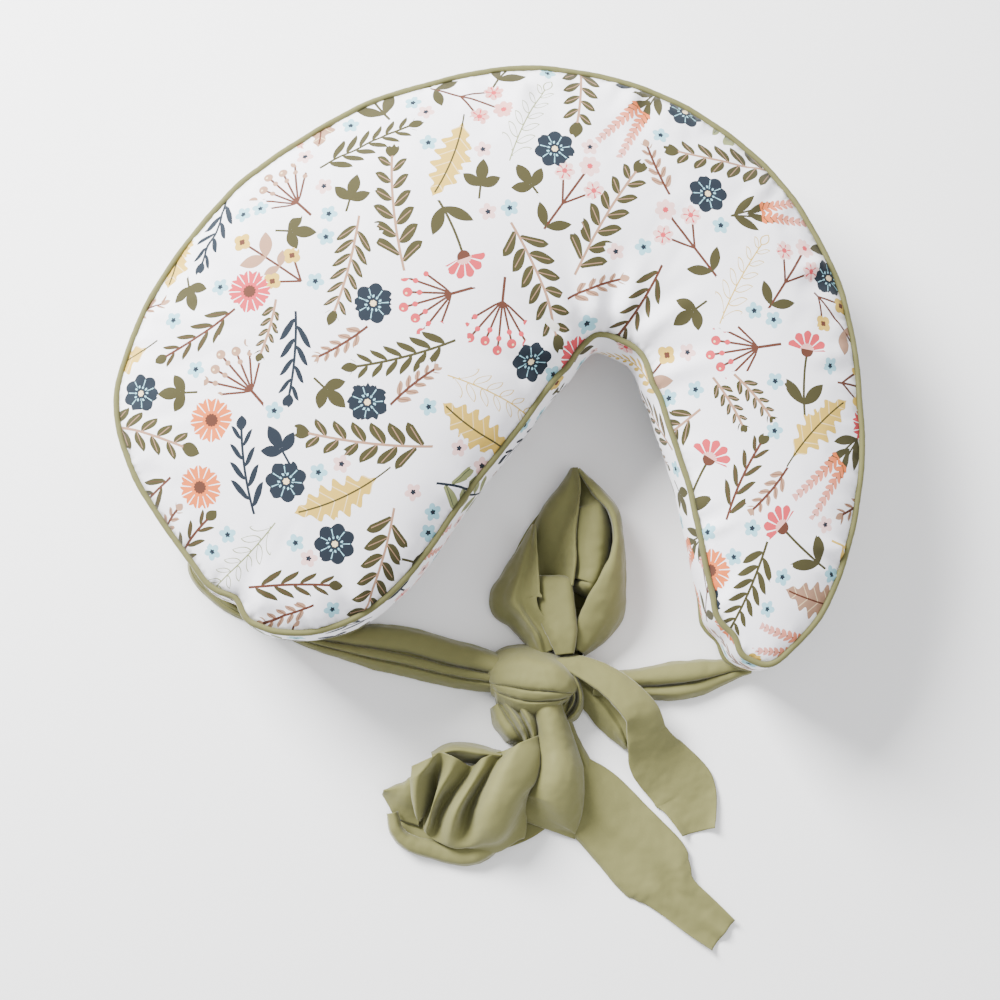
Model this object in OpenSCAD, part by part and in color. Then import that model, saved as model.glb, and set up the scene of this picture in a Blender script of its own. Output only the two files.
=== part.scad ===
/* [Pillow] */
// Radius of the round back edge, which carries the zip
back_r = 264; // [260:1:268]
// Height of the side band, from the bottom seam to the top seam
band_h = 90; // [80:1:100]
// Height of the bottom seam above the surface that the pillow rests on
bottom_seam_z = 22; // [18:1:26]
// Rise of the top panel above the top seam where the pillow is widest
crown_h = 38; // [30:1:44]

/* [Cloth] */
// Thickness of the printed cover cloth
cover_t = 1.2; // [1:0.1:1.4]
// Thickness of the inner liner cloth
liner_t = 0.8; // [0.6:0.1:1]
// Side gap between the cover and the liner, which the zip hangs in
liner_side_gap = 4.5; // [4.2:0.1:5]

/* [Piping] */
// Outside diameter of the piping
piping_d = 6; // [5.4:0.1:6.2]
// Diameter of the cord inside the piping
cord_d = 3.4; // [3:0.1:3.4]

/* [Zip] */
// Angle of the zip's closed end, round the back edge
zip_closed_end = 38; // [37:1:42]
// Angle of the zip's open end, round the back edge
zip_open_end = 108; // [100:1:108]
// Width of one half of the zip's tape
tape_w = 13; // [11:1:14]
// Width of one coil row
coil_w = 2.7; // [2.4:0.1:2.8]
// Width of the window between the two cover strips that shows the coil
zip_window = 12; // [11.6:0.1:14]
// Length of the slider along the zip
slider_len = 12; // [11:0.5:13]
// Length of the pull tab, from its pin to its end
pull_len = 27; // [22:1:30]

/* [Waist tie] */
// Height of the knot
knot_h = 44; // [40:1:46]
// Thickness of a flat tail of the tie
tail_t = 4; // [3:0.5:4.5]

/* [Hidden] */

print_white = [0.93, 0.93, 0.95];
olive = [0.53, 0.55, 0.34];
natural = [0.90, 0.88, 0.82];
zip_grey = [0.80, 0.80, 0.78];
metal = [0.70, 0.69, 0.66];

// Centre of the back edge's arc
back_centre = [38, 98];
top_seam_z = bottom_seam_z + band_h;
zip_z = bottom_seam_z + band_h / 2;
// The bottom panel would drop this far below its seam if nothing held it up
bottom_drop = 40;
// Half the gap that the piping's flange takes between a panel and the band
seam_half = 0.6;
// Length of a rib at which the crown has its full height, and how fast it falls on shorter ribs
full_crown_rib = 260;
crown_fall = 0.6;

function on_back(angle, r) = back_centre + r * [cos(angle), sin(angle)];
function arc_station(angle, inner) = [each on_back(angle, back_r), each inner];

// Ribs across the pillow, from the large lobe's end to the slim arm's tip:
// [x and y on the outer edge, x and y on the inner edge]
stations = [
    [-165, -104, -165, -104], [-212, -76, -126, -102], [-255, -26, -92, -86], [-284, 20, -62, -57],
    [-299, 75, -35, -18], [-288, 130, -8, 20], [-258, 192, 20, 55], [-207, 257, 44, 88],
    [-140, 307, 64, 113], [-92, 333, 76, 128],
    arc_station(108, [84, 136]), arc_station(96, [90, 139]), arc_station(84, [97, 139]),
    arc_station(72, [104, 137]), arc_station(60, [111, 134]), arc_station(48, [119, 130]),
    arc_station(36, [128, 122]),
    [284, 195, 136, 106], [299, 140, 143, 85], [304, 85, 150, 62], [304, 35, 158, 38],
    [298, -12, 166, 10], [286, -55, 173, -25], [268, -92, 181, -66], [246, -117, 194, -104],
    [222, -131, 222, -131]
];
rib_steps = 2;
last_station = len(stations) - 1;
rib_count = last_station * rib_steps;

// Past each end the two edges swap, so that the outline runs smoothly round the tip
function swapped(s) = [s[2], s[3], s[0], s[1]];
function station(i) =
    i < 0 ? swapped(stations[-i])
    : i > last_station ? swapped(stations[2 * last_station - i])
    : stations[i];
function smooth(a, b, c, d, t) =
    0.5 * (2 * b + (c - a) * t + (2 * a - 5 * b + 4 * c - d) * t * t + (3 * b - a - 3 * c + d) * t * t * t);
function rib(k) =
    let (i = floor(k / rib_steps), t = k / rib_steps - i)
    smooth(station(i - 1), station(i), station(i + 1), station(i + 2), t);
ribs = [for (k = [0 : rib_count]) rib(k)];

// The closed outline, clockwise: up the outer edge and back along the inner edge
outline = concat(
    [for (k = [0 : rib_count]) [ribs[k][0], ribs[k][1]]],
    [for (k = [rib_count - 1 : -1 : 1]) [ribs[k][2], ribs[k][3]]]
);
outline_n = len(outline);
function wrap(i) = (i + outline_n) % outline_n;
function outward(i) =
    let (d = outline[wrap(i + 1)] - outline[wrap(i - 1)])
    [-d[1], d[0]] / norm(d);
outwards = [for (i = [0 : outline_n - 1]) outward(i)];
function moved_outline(by) = [for (i = [0 : outline_n - 1]) outline[i] + by * outwards[i]];

// Places across a rib, closer together near the seams, and the crown's profile over them
across_steps = 8;
function across(j) = (1 - cos(180 * j / across_steps)) / 2;
function profile(u) = pow(max(0, 1 - pow(abs(2 * u - 1), 2.2)), 0.7);
function rib_share(k) =
    let (r = ribs[k])
    pow(min(1, norm([r[0] - r[2], r[1] - r[3]]) / full_crown_rib), crown_fall);

// A sheet is a grid of points over the whole outline: both tips first, then each rib's points
function sheet(inset, height) =
    let (edge = moved_outline(-inset))
    concat(
        [[each edge[0], height(0, 0)], [each edge[rib_count], height(rib_count, 0)]],
        [for (k = [1 : rib_count - 1]) for (j = [0 : across_steps])
            let (u = across(j), a = edge[k], b = edge[wrap(-k)])
            [each (a + (b - a) * u), height(k, profile(u))]]
    );
sheet_n = 2 + (rib_count - 1) * (across_steps + 1);
function sheet_index(k, j) =
    k == 0 ? 0 : k == rib_count ? 1 : 2 + (k - 1) * (across_steps + 1) + j;
function sheet_faces(first, up) =
    [for (k = [0 : rib_count - 1]) for (j = [0 : across_steps - 1])
        let (a = sheet_index(k, j), b = sheet_index(k + 1, j),
             c = sheet_index(k + 1, j + 1), d = sheet_index(k, j + 1))
        for (f = k == 0 ? [[a, b, c]] : k == rib_count - 1 ? [[a, b, d]] : [[a, b, c], [a, c, d]])
            [for (v = up ? f : [f[2], f[1], f[0]]) v + first]];
function rim_faces(upper, lower) =
    [for (k = [0 : rib_count - 1]) for (j = [0, across_steps])
        let (a = sheet_index(k, j), b = sheet_index(k + 1, j),
             faces = [[upper + b, upper + a, lower + a], [upper + b, lower + a, lower + b]])
        for (f = faces) j == 0 ? f : [f[2], f[1], f[0]]];
module between_sheets(upper, lower) {
    polyhedron(
        points = concat(upper, lower),
        faces = concat(sheet_faces(0, true), sheet_faces(sheet_n, false), rim_faces(0, sheet_n)),
        convexity = 6
    );
}

// The top and bottom surfaces of each layer, by how far the layer lies in from the cover's face
function dome(seam_z, inset, sunk) =
    sheet(inset, function (k, f) seam_z + (crown_h - sunk) * rib_share(k) * f);
function base(seam_z, inset, sunk) =
    sheet(inset, function (k, f) max(sunk, seam_z - (bottom_drop - sunk) * rib_share(k) * f));

module top_layer(inset, sunk, t, seam_z) {
    between_sheets(dome(seam_z, inset, sunk), dome(seam_z, inset + t, sunk + t));
}
module bottom_layer(inset, sunk, t, seam_z) {
    between_sheets(base(seam_z, inset + t, sunk + t), base(seam_z, inset, sunk));
}
module band(inset, t, z0, z1) {
    translate([0, 0, z0])
        linear_extrude(height = z1 - z0)
            difference() {
                polygon(moved_outline(-inset));
                polygon(moved_outline(-inset - t));
            }
}

// A part of a ring round the back edge's centre, from r0 to r1, z0 to z1 and angle a0 to a1
module back_ring(r0, r1, z0, z1, a0, a1) {
    translate([each back_centre, 0])
        rotate([0, 0, a0])
            rotate_extrude(angle = a1 - a0, $fn = 180)
                translate([r0, z0])
                    square([r1 - r0, z1 - z0]);
}

// Cover
liner_in = cover_t + liner_side_gap;
liner_sunk = cover_t + 0.4;
fill_in = liner_in + liner_t + 0.3;
fill_sunk = liner_sunk + liner_t + 0.3;
// The zip's cover strips lie this far inside the piping's inner face
strip_r = back_r - 0.4;
piping_out = piping_d / 2 + 0.15;

module cover_top_panel() {
    color(print_white) top_layer(0, 0, cover_t, top_seam_z + seam_half);
}
module cover_bottom_panel() {
    color(print_white) bottom_layer(0, 0, cover_t, bottom_seam_z - seam_half);
}
module cover_side_band() {
    color(print_white)
        difference() {
            band(0, cover_t, bottom_seam_z + seam_half, top_seam_z - seam_half);
            back_ring(back_r - 12, back_r + 6, 0, top_seam_z + 10, zip_closed_end, zip_open_end);
        }
}
module zip_strip(z0, z1) {
    color(print_white)
        back_ring(strip_r - cover_t, strip_r, z0, z1, zip_closed_end + 0.05, zip_open_end - 0.05);
}
module zip_strip_upper() { zip_strip(zip_z + zip_window / 2, top_seam_z - seam_half); }
module zip_strip_lower() { zip_strip(bottom_seam_z + seam_half, zip_z - zip_window / 2); }

// Piping: a bias strip folded round a cord, whose two plies run into the seam
function arc_points(r, from, to, n) =
    [for (i = [0 : n]) let (a = from + (to - from) * i / n) r * [cos(a), sin(a)]];
bore_r = piping_d / 2 - 0.9;
flange_len = piping_out + cover_t;
ply_half = 0.5;
slit_half = 0.1;
cover_section = concat(
    [[-flange_len, ply_half]],
    arc_points(piping_d / 2, 169, -169, 6),
    [[-flange_len, -ply_half], [-flange_len, -slit_half]],
    arc_points(bore_r, -177, 177, 6),
    [[-flange_len, slit_half]]
);
cord_section = arc_points(cord_d / 2, 180, -120, 5);

// Sweeps a section of [distance outwards, height] points round the outline
module round_the_outline(section, z) {
    m = len(section);
    points = [for (i = [0 : outline_n - 1]) for (s = section)
        [each (outline[i] + (piping_out + s[0]) * outwards[i]), z + s[1]]];
    faces = [for (i = [0 : outline_n - 1]) for (j = [0 : m - 1])
        let (a = i * m + j, b = i * m + (j + 1) % m,
             c = wrap(i + 1) * m + (j + 1) % m, d = wrap(i + 1) * m + j)
        for (f = [[a, b, c], [a, c, d]]) f];
    polyhedron(points = points, faces = faces, convexity = 8);
}
module top_piping_cover() { color(olive) round_the_outline(cover_section, top_seam_z); }
module top_piping_cord() { color(natural) round_the_outline(cord_section, top_seam_z); }
module bottom_piping_cover() { color(olive) round_the_outline(cover_section, bottom_seam_z); }
module bottom_piping_cord() { color(natural) round_the_outline(cord_section, bottom_seam_z); }

// Inner pillow
module liner_top_panel() { color(natural) top_layer(liner_in, liner_sunk, liner_t, top_seam_z + 0.05); }
module liner_bottom_panel() {
    color(natural) bottom_layer(liner_in, liner_sunk, liner_t, bottom_seam_z - 0.05);
}
module liner_side_band() { color(natural) band(liner_in, liner_t, bottom_seam_z, top_seam_z); }
module fibre_filling() {
    color("white")
        between_sheets(dome(top_seam_z, fill_in, fill_sunk), base(bottom_seam_z, fill_in, fill_sunk));
}

// Zip, seen from the middle of the tape: rows above and below, slider round both
tape_t = 0.6;
tape_r = strip_r - cover_t - 0.2 - tape_t;
coil_in = tape_r + tape_t;
coil_out = coil_in + 2.2;
row_gap = 0.5;
zip_margin = 1.2;
chain_a0 = zip_closed_end + zip_margin;
chain_a1 = zip_open_end - zip_margin;
stop_angle = 0.7;
arc_deg = 180 / (PI * back_r);
slider_angle = slider_len * arc_deg;
slider_mid = chain_a0 + stop_angle + 0.2 + slider_angle / 2;
slider_half_w = 4.5;
plate_t = 1.4;
plate_in = coil_out + 0.3;
plate_out = plate_in + plate_t;
keeper_out = tape_r - 0.35;
keeper_in = keeper_out - 1.1;
web_half = 0.25;
crown_half_w = 1.2;
crown_foot = 1.2;
crown_bar_t = 1;
pin_r = 0.7;
pin_room = 2.2;
pin_from_centre = plate_out + pin_room / 2;

module zip_tape(side) {
    z = [zip_z + side * 0.8, zip_z + side * (0.8 + tape_w)];
    color(zip_grey)
        back_ring(tape_r, tape_r + tape_t, min(z), max(z), zip_closed_end + 0.3, zip_open_end - 0.3);
}
module zip_coil(side) {
    z = [zip_z + side * row_gap, zip_z + side * (row_gap + coil_w)];
    color(zip_grey)
        back_ring(coil_in, coil_out, min(z), max(z), chain_a0 + stop_angle, chain_a1 - stop_angle);
}
module zip_end_stops() {
    color(metal)
        for (side = [-1, 1]) {
            z = [zip_z + side * row_gap, zip_z + side * (row_gap + coil_w + 0.3)];
            back_ring(coil_in, coil_out + 0.4, min(z), max(z), chain_a0, chain_a0 + stop_angle);
        }
}
module zip_bottom_stop() {
    half = row_gap + coil_w + 0.3;
    color(metal)
        back_ring(coil_in, coil_out + 0.4, zip_z - half, zip_z + half, chain_a1 - stop_angle, chain_a1);
}
module zip_slider() {
    a0 = slider_mid - slider_angle / 2;
    a1 = slider_mid + slider_angle / 2;
    foot = crown_foot * arc_deg;
    crown_half = slider_angle * 0.36;
    color(metal) {
        back_ring(plate_in, plate_out, zip_z - slider_half_w, zip_z + slider_half_w, a0, a1);
        back_ring(keeper_in, keeper_out, zip_z - slider_half_w, zip_z + slider_half_w, a0, a1);
        back_ring(keeper_in + 0.2, plate_out - 0.2, zip_z - web_half, zip_z + web_half, a0 + 0.1, a1 - 0.1);
        for (end = [slider_mid - crown_half, slider_mid + crown_half - foot])
            back_ring(plate_out - 0.2, plate_out + pin_room + crown_bar_t,
                zip_z - crown_half_w, zip_z + crown_half_w, end, end + foot);
        back_ring(plate_out + pin_room, plate_out + pin_room + crown_bar_t,
            zip_z - crown_half_w, zip_z + crown_half_w, slider_mid - crown_half, slider_mid + crown_half);
    }
}
// The tab lies along the zip, on the closed side of the slider, and turns on its pin
module zip_pull_tab() {
    arm_w = 1.2;
    arm_z = crown_half_w + 0.4;
    arm_len = 7;
    tab_half_w = 3.6;
    tab_t = 1.2;
    pin_half = arm_z + arm_w;
    color(metal)
        translate([each on_back(slider_mid, pin_from_centre), zip_z])
            rotate([0, 0, slider_mid + 90]) {
                cylinder(r = pin_r, h = 2 * pin_half, center = true, $fn = 32);
                for (side = [-1, 1])
                    translate([0, -tab_t / 2, side < 0 ? -pin_half : arm_z])
                        cube([arm_len, tab_t, arm_w]);
                translate([arm_len - 1, -tab_t / 2, 0])
                    rotate([-90, 0, 0])
                        linear_extrude(height = tab_t)
                            difference() {
                                hull() {
                                    translate([0, -tab_half_w]) square([1, 2 * tab_half_w]);
                                    translate([pull_len - arm_len - 2, 0]) circle(r = 3, $fn = 32);
                                }
                                translate([pull_len - arm_len - 2, 0]) circle(r = 1.4, $fn = 32);
                            }
            }
}

// Waist tie: every run is a soft band through rings that lie flat
ring_steps = 12;
function direction(path, i) =
    let (a = path[max(0, i - 1)], b = path[min(len(path) - 1, i + 1)])
    [b[0] - a[0], b[1] - a[1]] / norm([b[0] - a[0], b[1] - a[1]]);
module soft_band(path) {
    n = len(path);
    points = [for (i = [0 : n - 1])
        let (p = path[i], d = direction(path, i), side = [d[1], -d[0]],
             z = p[4] + p[3] / 2)
        for (s = [0 : ring_steps - 1])
            let (a = 360 * s / ring_steps)
            [each ([p[0], p[1]] + side * cos(a) * p[2] / 2), z + sin(a) * p[3] / 2]];
    faces = concat(
        [[for (s = [ring_steps - 1 : -1 : 0]) s]],
        [[for (s = [0 : ring_steps - 1]) (n - 1) * ring_steps + s]],
        [for (i = [0 : n - 2]) for (s = [0 : ring_steps - 1])
            let (a = i * ring_steps + s, b = i * ring_steps + (s + 1) % ring_steps)
            for (f = [[a, b, b + ring_steps], [a, b + ring_steps, a + ring_steps]]) f]
    );
    polyhedron(points = points, faces = faces, convexity = 4);
}

// Each ring: [x, y, width, height, height of its underside]
strap_left_path = [
    [-253, -34, 12, 6, 14], [-257, -50, 18, 8, 5], [-247, -72, 18, 10, 0], [-221, -92, 20, 9, 0],
    [-186, -104, 22, 9, 0], [-150, -112, 22, 10, 0], [-112, -116, 32, 12, 0], [-77, -118, 40, 14, 0],
    [-42, -122, 41, 17, 0], [-10, -130, 38, 20, 1], [16, -138, 34, 22, 6]
];
strap_right_path = [
    [88, -149, 32, 20, 6], [118, -145, 30, 17, 1], [151, -143, 29, 13, 0], [182, -139, 34, 12, 0],
    [207, -138, 25, 11, 0], [222, -138, 14, 9, 4], [229, -133, 9, 6, 14]
];
hidden_run_path = [[62, -176, 26, 6, 6], [70, -194, 40, 4, 0], [82, -212, 48, 3, 0], [97, -234, 50, 3, 0]];
loop_upper_path = [
    [54, -111, 16, 8, 15], [55, -103, 36, 20, 8], [58, -88, 84, 36, 0], [62, -66, 108, 46, 0],
    [68, -38, 92, 46, 0], [74, -8, 62, 40, 0], [78, 20, 34, 26, 0], [81, 38, 12, 12, 0]
];
loop_lower_path = [
    [46, -199, 22, 8, 10], [44, -207, 52, 18, 6.5], [38, -223, 94, 32, 4.5], [18, -240, 104, 44, 4.5],
    [-12, -248, 94, 46, 4.5], [-42, -249, 78, 42, 4.5], [-66, -246, 50, 27, 4.5], [-82, -243, 18, 12, 4.5]
];
tail_right_path = [
    [107, -150, 10, 5, 24], [115, -161, 34, 5, 22], [125, -175, 48, tail_t, 16], [136, -190, 52, tail_t, 7],
    [150, -211, 50, tail_t, 0], [172, -242, 44, tail_t, 0], [185, -262, 36, tail_t, 0],
    [188, -272, 24, tail_t, 0]
];
tail_long_path = [
    [104, -244, 48, tail_t, 0], [124, -265, 54, tail_t, 0], [148, -292, 50, tail_t, 0],
    [168, -318, 42, tail_t, 0], [186, -342, 36, tail_t, 0], [200, -360, 32, tail_t, 0]
];
knot_r = [48, 38];
knot_at = [50, -155];

module tie_strap_left() { color(olive) soft_band(strap_left_path); }
module tie_strap_right() { color(olive) soft_band(strap_right_path); }
module tie_strap_hidden_run() { color(olive) soft_band(hidden_run_path); }
module tie_knot() {
    color(olive)
        translate([each knot_at, knot_h / 2])
            resize([2 * knot_r[0], 2 * knot_r[1], knot_h])
                sphere(r = 10, $fn = 24);
}
module bow_loop_upper() { color(olive) soft_band(loop_upper_path); }
module bow_loop_lower() { color(olive) soft_band(loop_lower_path); }
module tie_tail_right() { color(olive) soft_band(tail_right_path); }
module tie_tail_long() { color(olive) soft_band(tail_long_path); }

cover_top_panel();
cover_bottom_panel();
cover_side_band();
zip_strip_upper();
zip_strip_lower();
top_piping_cover();
top_piping_cord();
bottom_piping_cover();
bottom_piping_cord();
liner_top_panel();
liner_bottom_panel();
liner_side_band();
fibre_filling();
zip_tape(1);  // zip_tape_upper
zip_tape(-1);  // zip_tape_lower
zip_coil(1);  // zip_coil_upper
zip_coil(-1);  // zip_coil_lower
zip_end_stops();
zip_bottom_stop();
zip_slider();
zip_pull_tab();
tie_strap_left();
tie_strap_right();
tie_strap_hidden_run();
tie_knot();
bow_loop_upper();
bow_loop_lower();
tie_tail_right();
tie_tail_long();
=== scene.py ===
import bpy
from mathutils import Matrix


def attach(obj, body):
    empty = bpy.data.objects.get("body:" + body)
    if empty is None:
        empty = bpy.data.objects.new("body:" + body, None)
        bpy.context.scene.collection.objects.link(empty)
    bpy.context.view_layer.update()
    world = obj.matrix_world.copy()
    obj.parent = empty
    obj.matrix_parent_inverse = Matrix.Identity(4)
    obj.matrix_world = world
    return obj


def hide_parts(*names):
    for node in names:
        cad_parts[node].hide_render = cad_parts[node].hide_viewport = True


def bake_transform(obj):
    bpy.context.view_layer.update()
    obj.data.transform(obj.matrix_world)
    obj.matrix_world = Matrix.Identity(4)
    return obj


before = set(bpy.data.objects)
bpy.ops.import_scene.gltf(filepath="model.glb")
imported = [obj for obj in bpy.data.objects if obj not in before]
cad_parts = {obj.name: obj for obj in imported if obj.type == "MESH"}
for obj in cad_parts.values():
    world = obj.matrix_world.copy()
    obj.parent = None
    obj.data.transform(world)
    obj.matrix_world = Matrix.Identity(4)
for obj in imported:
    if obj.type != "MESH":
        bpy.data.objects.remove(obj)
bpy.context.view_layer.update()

import math

import bpy
import numpy as np
from mathutils import Vector, noise
from mathutils.geometry import delaunay_2d_cdt

bl_info = {
    "name": "Nursing Pillow",
    "version": (1, 0, 0),
    "blender": (4, 5, 0),
    "location": "View3D > Sidebar > Pillow",
    "description": "Makes a nursing pillow with a printed, piped cover and a waist tie",
    "category": "Add Mesh",
}

MM = 0.001

# ---------------------------------------------------------------------------
# Sizes and colours that a user would change


class CoverSettings(bpy.types.PropertyGroup):
    """Cover of the pillow"""

    pressure: bpy.props.FloatProperty(
        name="Filling pressure", description="How hard the filling pushes the cloth out", default=3.0, min=0
    )
    ease: bpy.props.FloatProperty(
        name="Ease", description="Extra cloth cut outside the seam line", default=7 * MM, unit="LENGTH"
    )
    band_ease: bpy.props.FloatProperty(
        name="Side band ease", description="Height of the side band's cloth over the gap it fills",
        default=1.16, min=1
    )
    bulge: bpy.props.FloatProperty(
        name="Bulge", description="How far the side band bulges on the inner edge",
        default=12 * MM, unit="LENGTH"
    )
    pucker: bpy.props.FloatProperty(
        name="Pucker", description="Height of the small gathers along a seam",
        default=0.9 * MM, unit="LENGTH"
    )
    ground: bpy.props.FloatVectorProperty(
        name="Ground", description="Colour of the cloth between the motifs", subtype="COLOR",
        default=(0.88, 0.87, 0.92)
    )


class PipingSettings(bpy.types.PropertyGroup):
    """Piping round both seams"""

    diameter: bpy.props.FloatProperty(
        name="Diameter", description="Outside diameter of the piping", default=5.2 * MM, unit="LENGTH"
    )
    cord_diameter: bpy.props.FloatProperty(
        name="Cord diameter", description="Diameter of the cord inside", default=3.4 * MM, unit="LENGTH"
    )
    wander: bpy.props.FloatProperty(
        name="Wander", description="How far the sewn line strays from a true one",
        default=0.9 * MM, unit="LENGTH"
    )
    tuck: bpy.props.FloatProperty(
        name="Tuck", description="How far the bottom seam lies in under the inner edge",
        default=9 * MM, unit="LENGTH"
    )


class TieSettings(bpy.types.PropertyGroup):
    """Waist tie"""

    colour: bpy.props.FloatVectorProperty(
        name="Colour", description="Colour of the tie and the piping", subtype="COLOR",
        default=(0.15, 0.145, 0.052)
    )
    thickness: bpy.props.FloatProperty(
        name="Thickness", description="Thickness of the tie's cloth", default=0.7 * MM, unit="LENGTH"
    )


class StageSettings(bpy.types.PropertyGroup):
    """Floor, light and camera"""

    floor_colour: bpy.props.FloatVectorProperty(
        name="Floor", description="Colour of the floor", subtype="COLOR", default=(0.9, 0.9, 0.9)
    )
    lens: bpy.props.FloatProperty(
        name="Lens", description="Focal length on a 36 mm sensor, in millimetres", default=66.6, min=10
    )
    distance: bpy.props.FloatProperty(
        name="Distance", description="From the camera to the top seam", default=1.5, unit="LENGTH"
    )


# ---------------------------------------------------------------------------
# Materials: numbers are joined by operators, and every other node comes from Maker.node


class Num:
    """A socket with a number, which Python's operators join by Math nodes."""

    def __init__(self, maker, socket):
        self.maker = maker
        self.socket = socket

    def math(self, operation, *others):
        return self.maker.math(operation, self, *others)

    def __add__(self, other):
        return self.math("ADD", other)

    def __sub__(self, other):
        return self.math("SUBTRACT", other)

    def __mul__(self, other):
        return self.math("MULTIPLY", other)

    def __truediv__(self, other):
        return self.math("DIVIDE", other)

    def __rsub__(self, other):
        return self.maker.math("SUBTRACT", other, self)

    def __lt__(self, other):
        return self.math("LESS_THAN", other)

    def __gt__(self, other):
        return self.math("GREATER_THAN", other)

    def __abs__(self):
        return self.math("ABSOLUTE")


class Maker:
    """Builds one material's nodes."""

    def __init__(self, name):
        self.material = bpy.data.materials.new(name)
        self.material.use_nodes = True
        self.tree = self.material.node_tree
        self.surface = self.tree.nodes["Principled BSDF"]

    def node(self, kind, settings=None, **inputs):
        """A node of that kind. Inputs go by their sockets' names, with _ for a space, or as i0, i1."""
        made = self.tree.nodes.new(kind)
        for key, value in (settings or {}).items():
            setattr(made, key, value)
        for key, value in inputs.items():
            place = int(key[1:]) if key[0] == "i" and key[1:].isdigit() else key.replace("_", " ")
            self.feed(made.inputs[place], value)
        return made

    def feed(self, socket, value):
        if isinstance(value, Num):
            value = value.socket
        if isinstance(value, bpy.types.NodeSocket):
            self.tree.links.new(value, socket)
        else:
            socket.default_value = value

    def math(self, operation, *values):
        inputs = {f"i{i}": value for i, value in enumerate(values)}
        return Num(self, self.node("ShaderNodeMath", {"operation": operation}, **inputs).outputs[0])

    def parts(self, vector):
        made = self.node("ShaderNodeSeparateXYZ", Vector=vector)
        return [Num(self, output) for output in made.outputs]

    def attribute(self, name):
        return self.node("ShaderNodeAttribute", {"attribute_name": name}).outputs["Vector"]

    def place(self):
        return self.node("ShaderNodeTexCoord").outputs["Object"]

    def noise(self, vector, scale, detail=2.0):
        made = self.node("ShaderNodeTexNoise", Vector=vector, Scale=scale, Detail=detail)
        return Num(self, made.outputs[0])

    def stretched(self, vector, scale):
        made = self.node("ShaderNodeVectorMath", {"operation": "MULTIPLY"}, i0=vector, i1=scale)
        return made.outputs[0]

    def mix(self, factor, first, second):
        made = self.node(
            "ShaderNodeMix", {"data_type": "RGBA"}, i0=factor, i6=self.rgba(first), i7=self.rgba(second)
        )
        return made.outputs[2]

    def rgba(self, colour):
        return colour if isinstance(colour, bpy.types.NodeSocket) else (*colour[:3], 1.0)

    def ramp(self, value, stops):
        """Colours at places from 0 to 1."""
        made = self.node("ShaderNodeValToRGB", Fac=value)
        elements = made.color_ramp.elements
        while len(elements) < len(stops):
            elements.new(1.0)
        for element, (at, colour) in zip(elements, stops):
            element.position = at
            element.color = (*colour, 1.0)
        return made.outputs[0]

    def bump(self, height, distance, strength):
        made = self.node("ShaderNodeBump", Height=height, Distance=distance, Strength=strength)
        self.feed(self.surface.inputs["Normal"], made.outputs[0])

    def finish(self, colour, roughness, **constants):
        self.feed(self.surface.inputs["Base Color"], self.rgba(colour))
        self.feed(self.surface.inputs["Roughness"], roughness)
        for key, value in constants.items():
            self.surface.inputs[key.replace("_", " ")].default_value = value
        return self.material


def plain_weave(maker, across, along, pitch):
    """Height of a plain weave: threads along both ways of the cloth, uneven in thickness."""
    flat = maker.node("ShaderNodeCombineXYZ", X=across, Y=along).outputs[0]
    warp = maker.noise(maker.stretched(flat, (1 / pitch, 0.12 / pitch, 0)), 1.0, 1.0)
    weft = maker.noise(maker.stretched(flat, (0.12 / pitch, 1 / pitch, 0)), 1.0, 1.0)
    return warp + weft


# ---------------------------------------------------------------------------
# Print: each motif is drawn round its own middle, in millimetres, with y along its stem

OLIVE = (0.046, 0.041, 0.014)
SAGE = (0.215, 0.235, 0.10)
NAVY = (0.010, 0.016, 0.025)
TAN = (0.34, 0.195, 0.125)
MUSTARD = (0.56, 0.37, 0.065)
ORANGE = (0.62, 0.14, 0.035)
CORAL = (0.52, 0.05, 0.065)
DUSTY_PINK = (0.68, 0.34, 0.31)
PALE_BLUE = (0.27, 0.53, 0.62)
BROWN = (0.085, 0.028, 0.016)
CREAM = (0.76, 0.60, 0.36)
BLUSH = (0.78, 0.50, 0.48)


def hump(t):
    """1 at the middle of a length and 0 at both its ends, below 0 outside it."""
    return t * (1 - t) * 4


def turned(x, y, degrees):
    """Across and along a line that leans to the right by some degrees."""
    c = math.cos(math.radians(degrees))
    s = math.sin(math.radians(degrees))
    return x * c - y * s, y * c + x * s


def between(value, low, high):
    return (value > low) * (value < high)


def spot(x, y, r):
    return x * x + y * y < r * r


def leaf(x, y, length, half_width):
    """A leaf from the origin along y."""
    return abs(x) < hump(y / length) * half_width


def petals(maker, x, y, r, count, depth):
    """Distance from the middle over the edge's, and the angle times half the count of petals."""
    far = (x * x + y * y).math("SQRT")
    turn = maker.math("ARCTAN2", y, x) * (count / 2)
    edge = (abs(turn.math("COSINE")) * depth + (1 - depth)) * r
    return far / edge, turn


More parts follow.
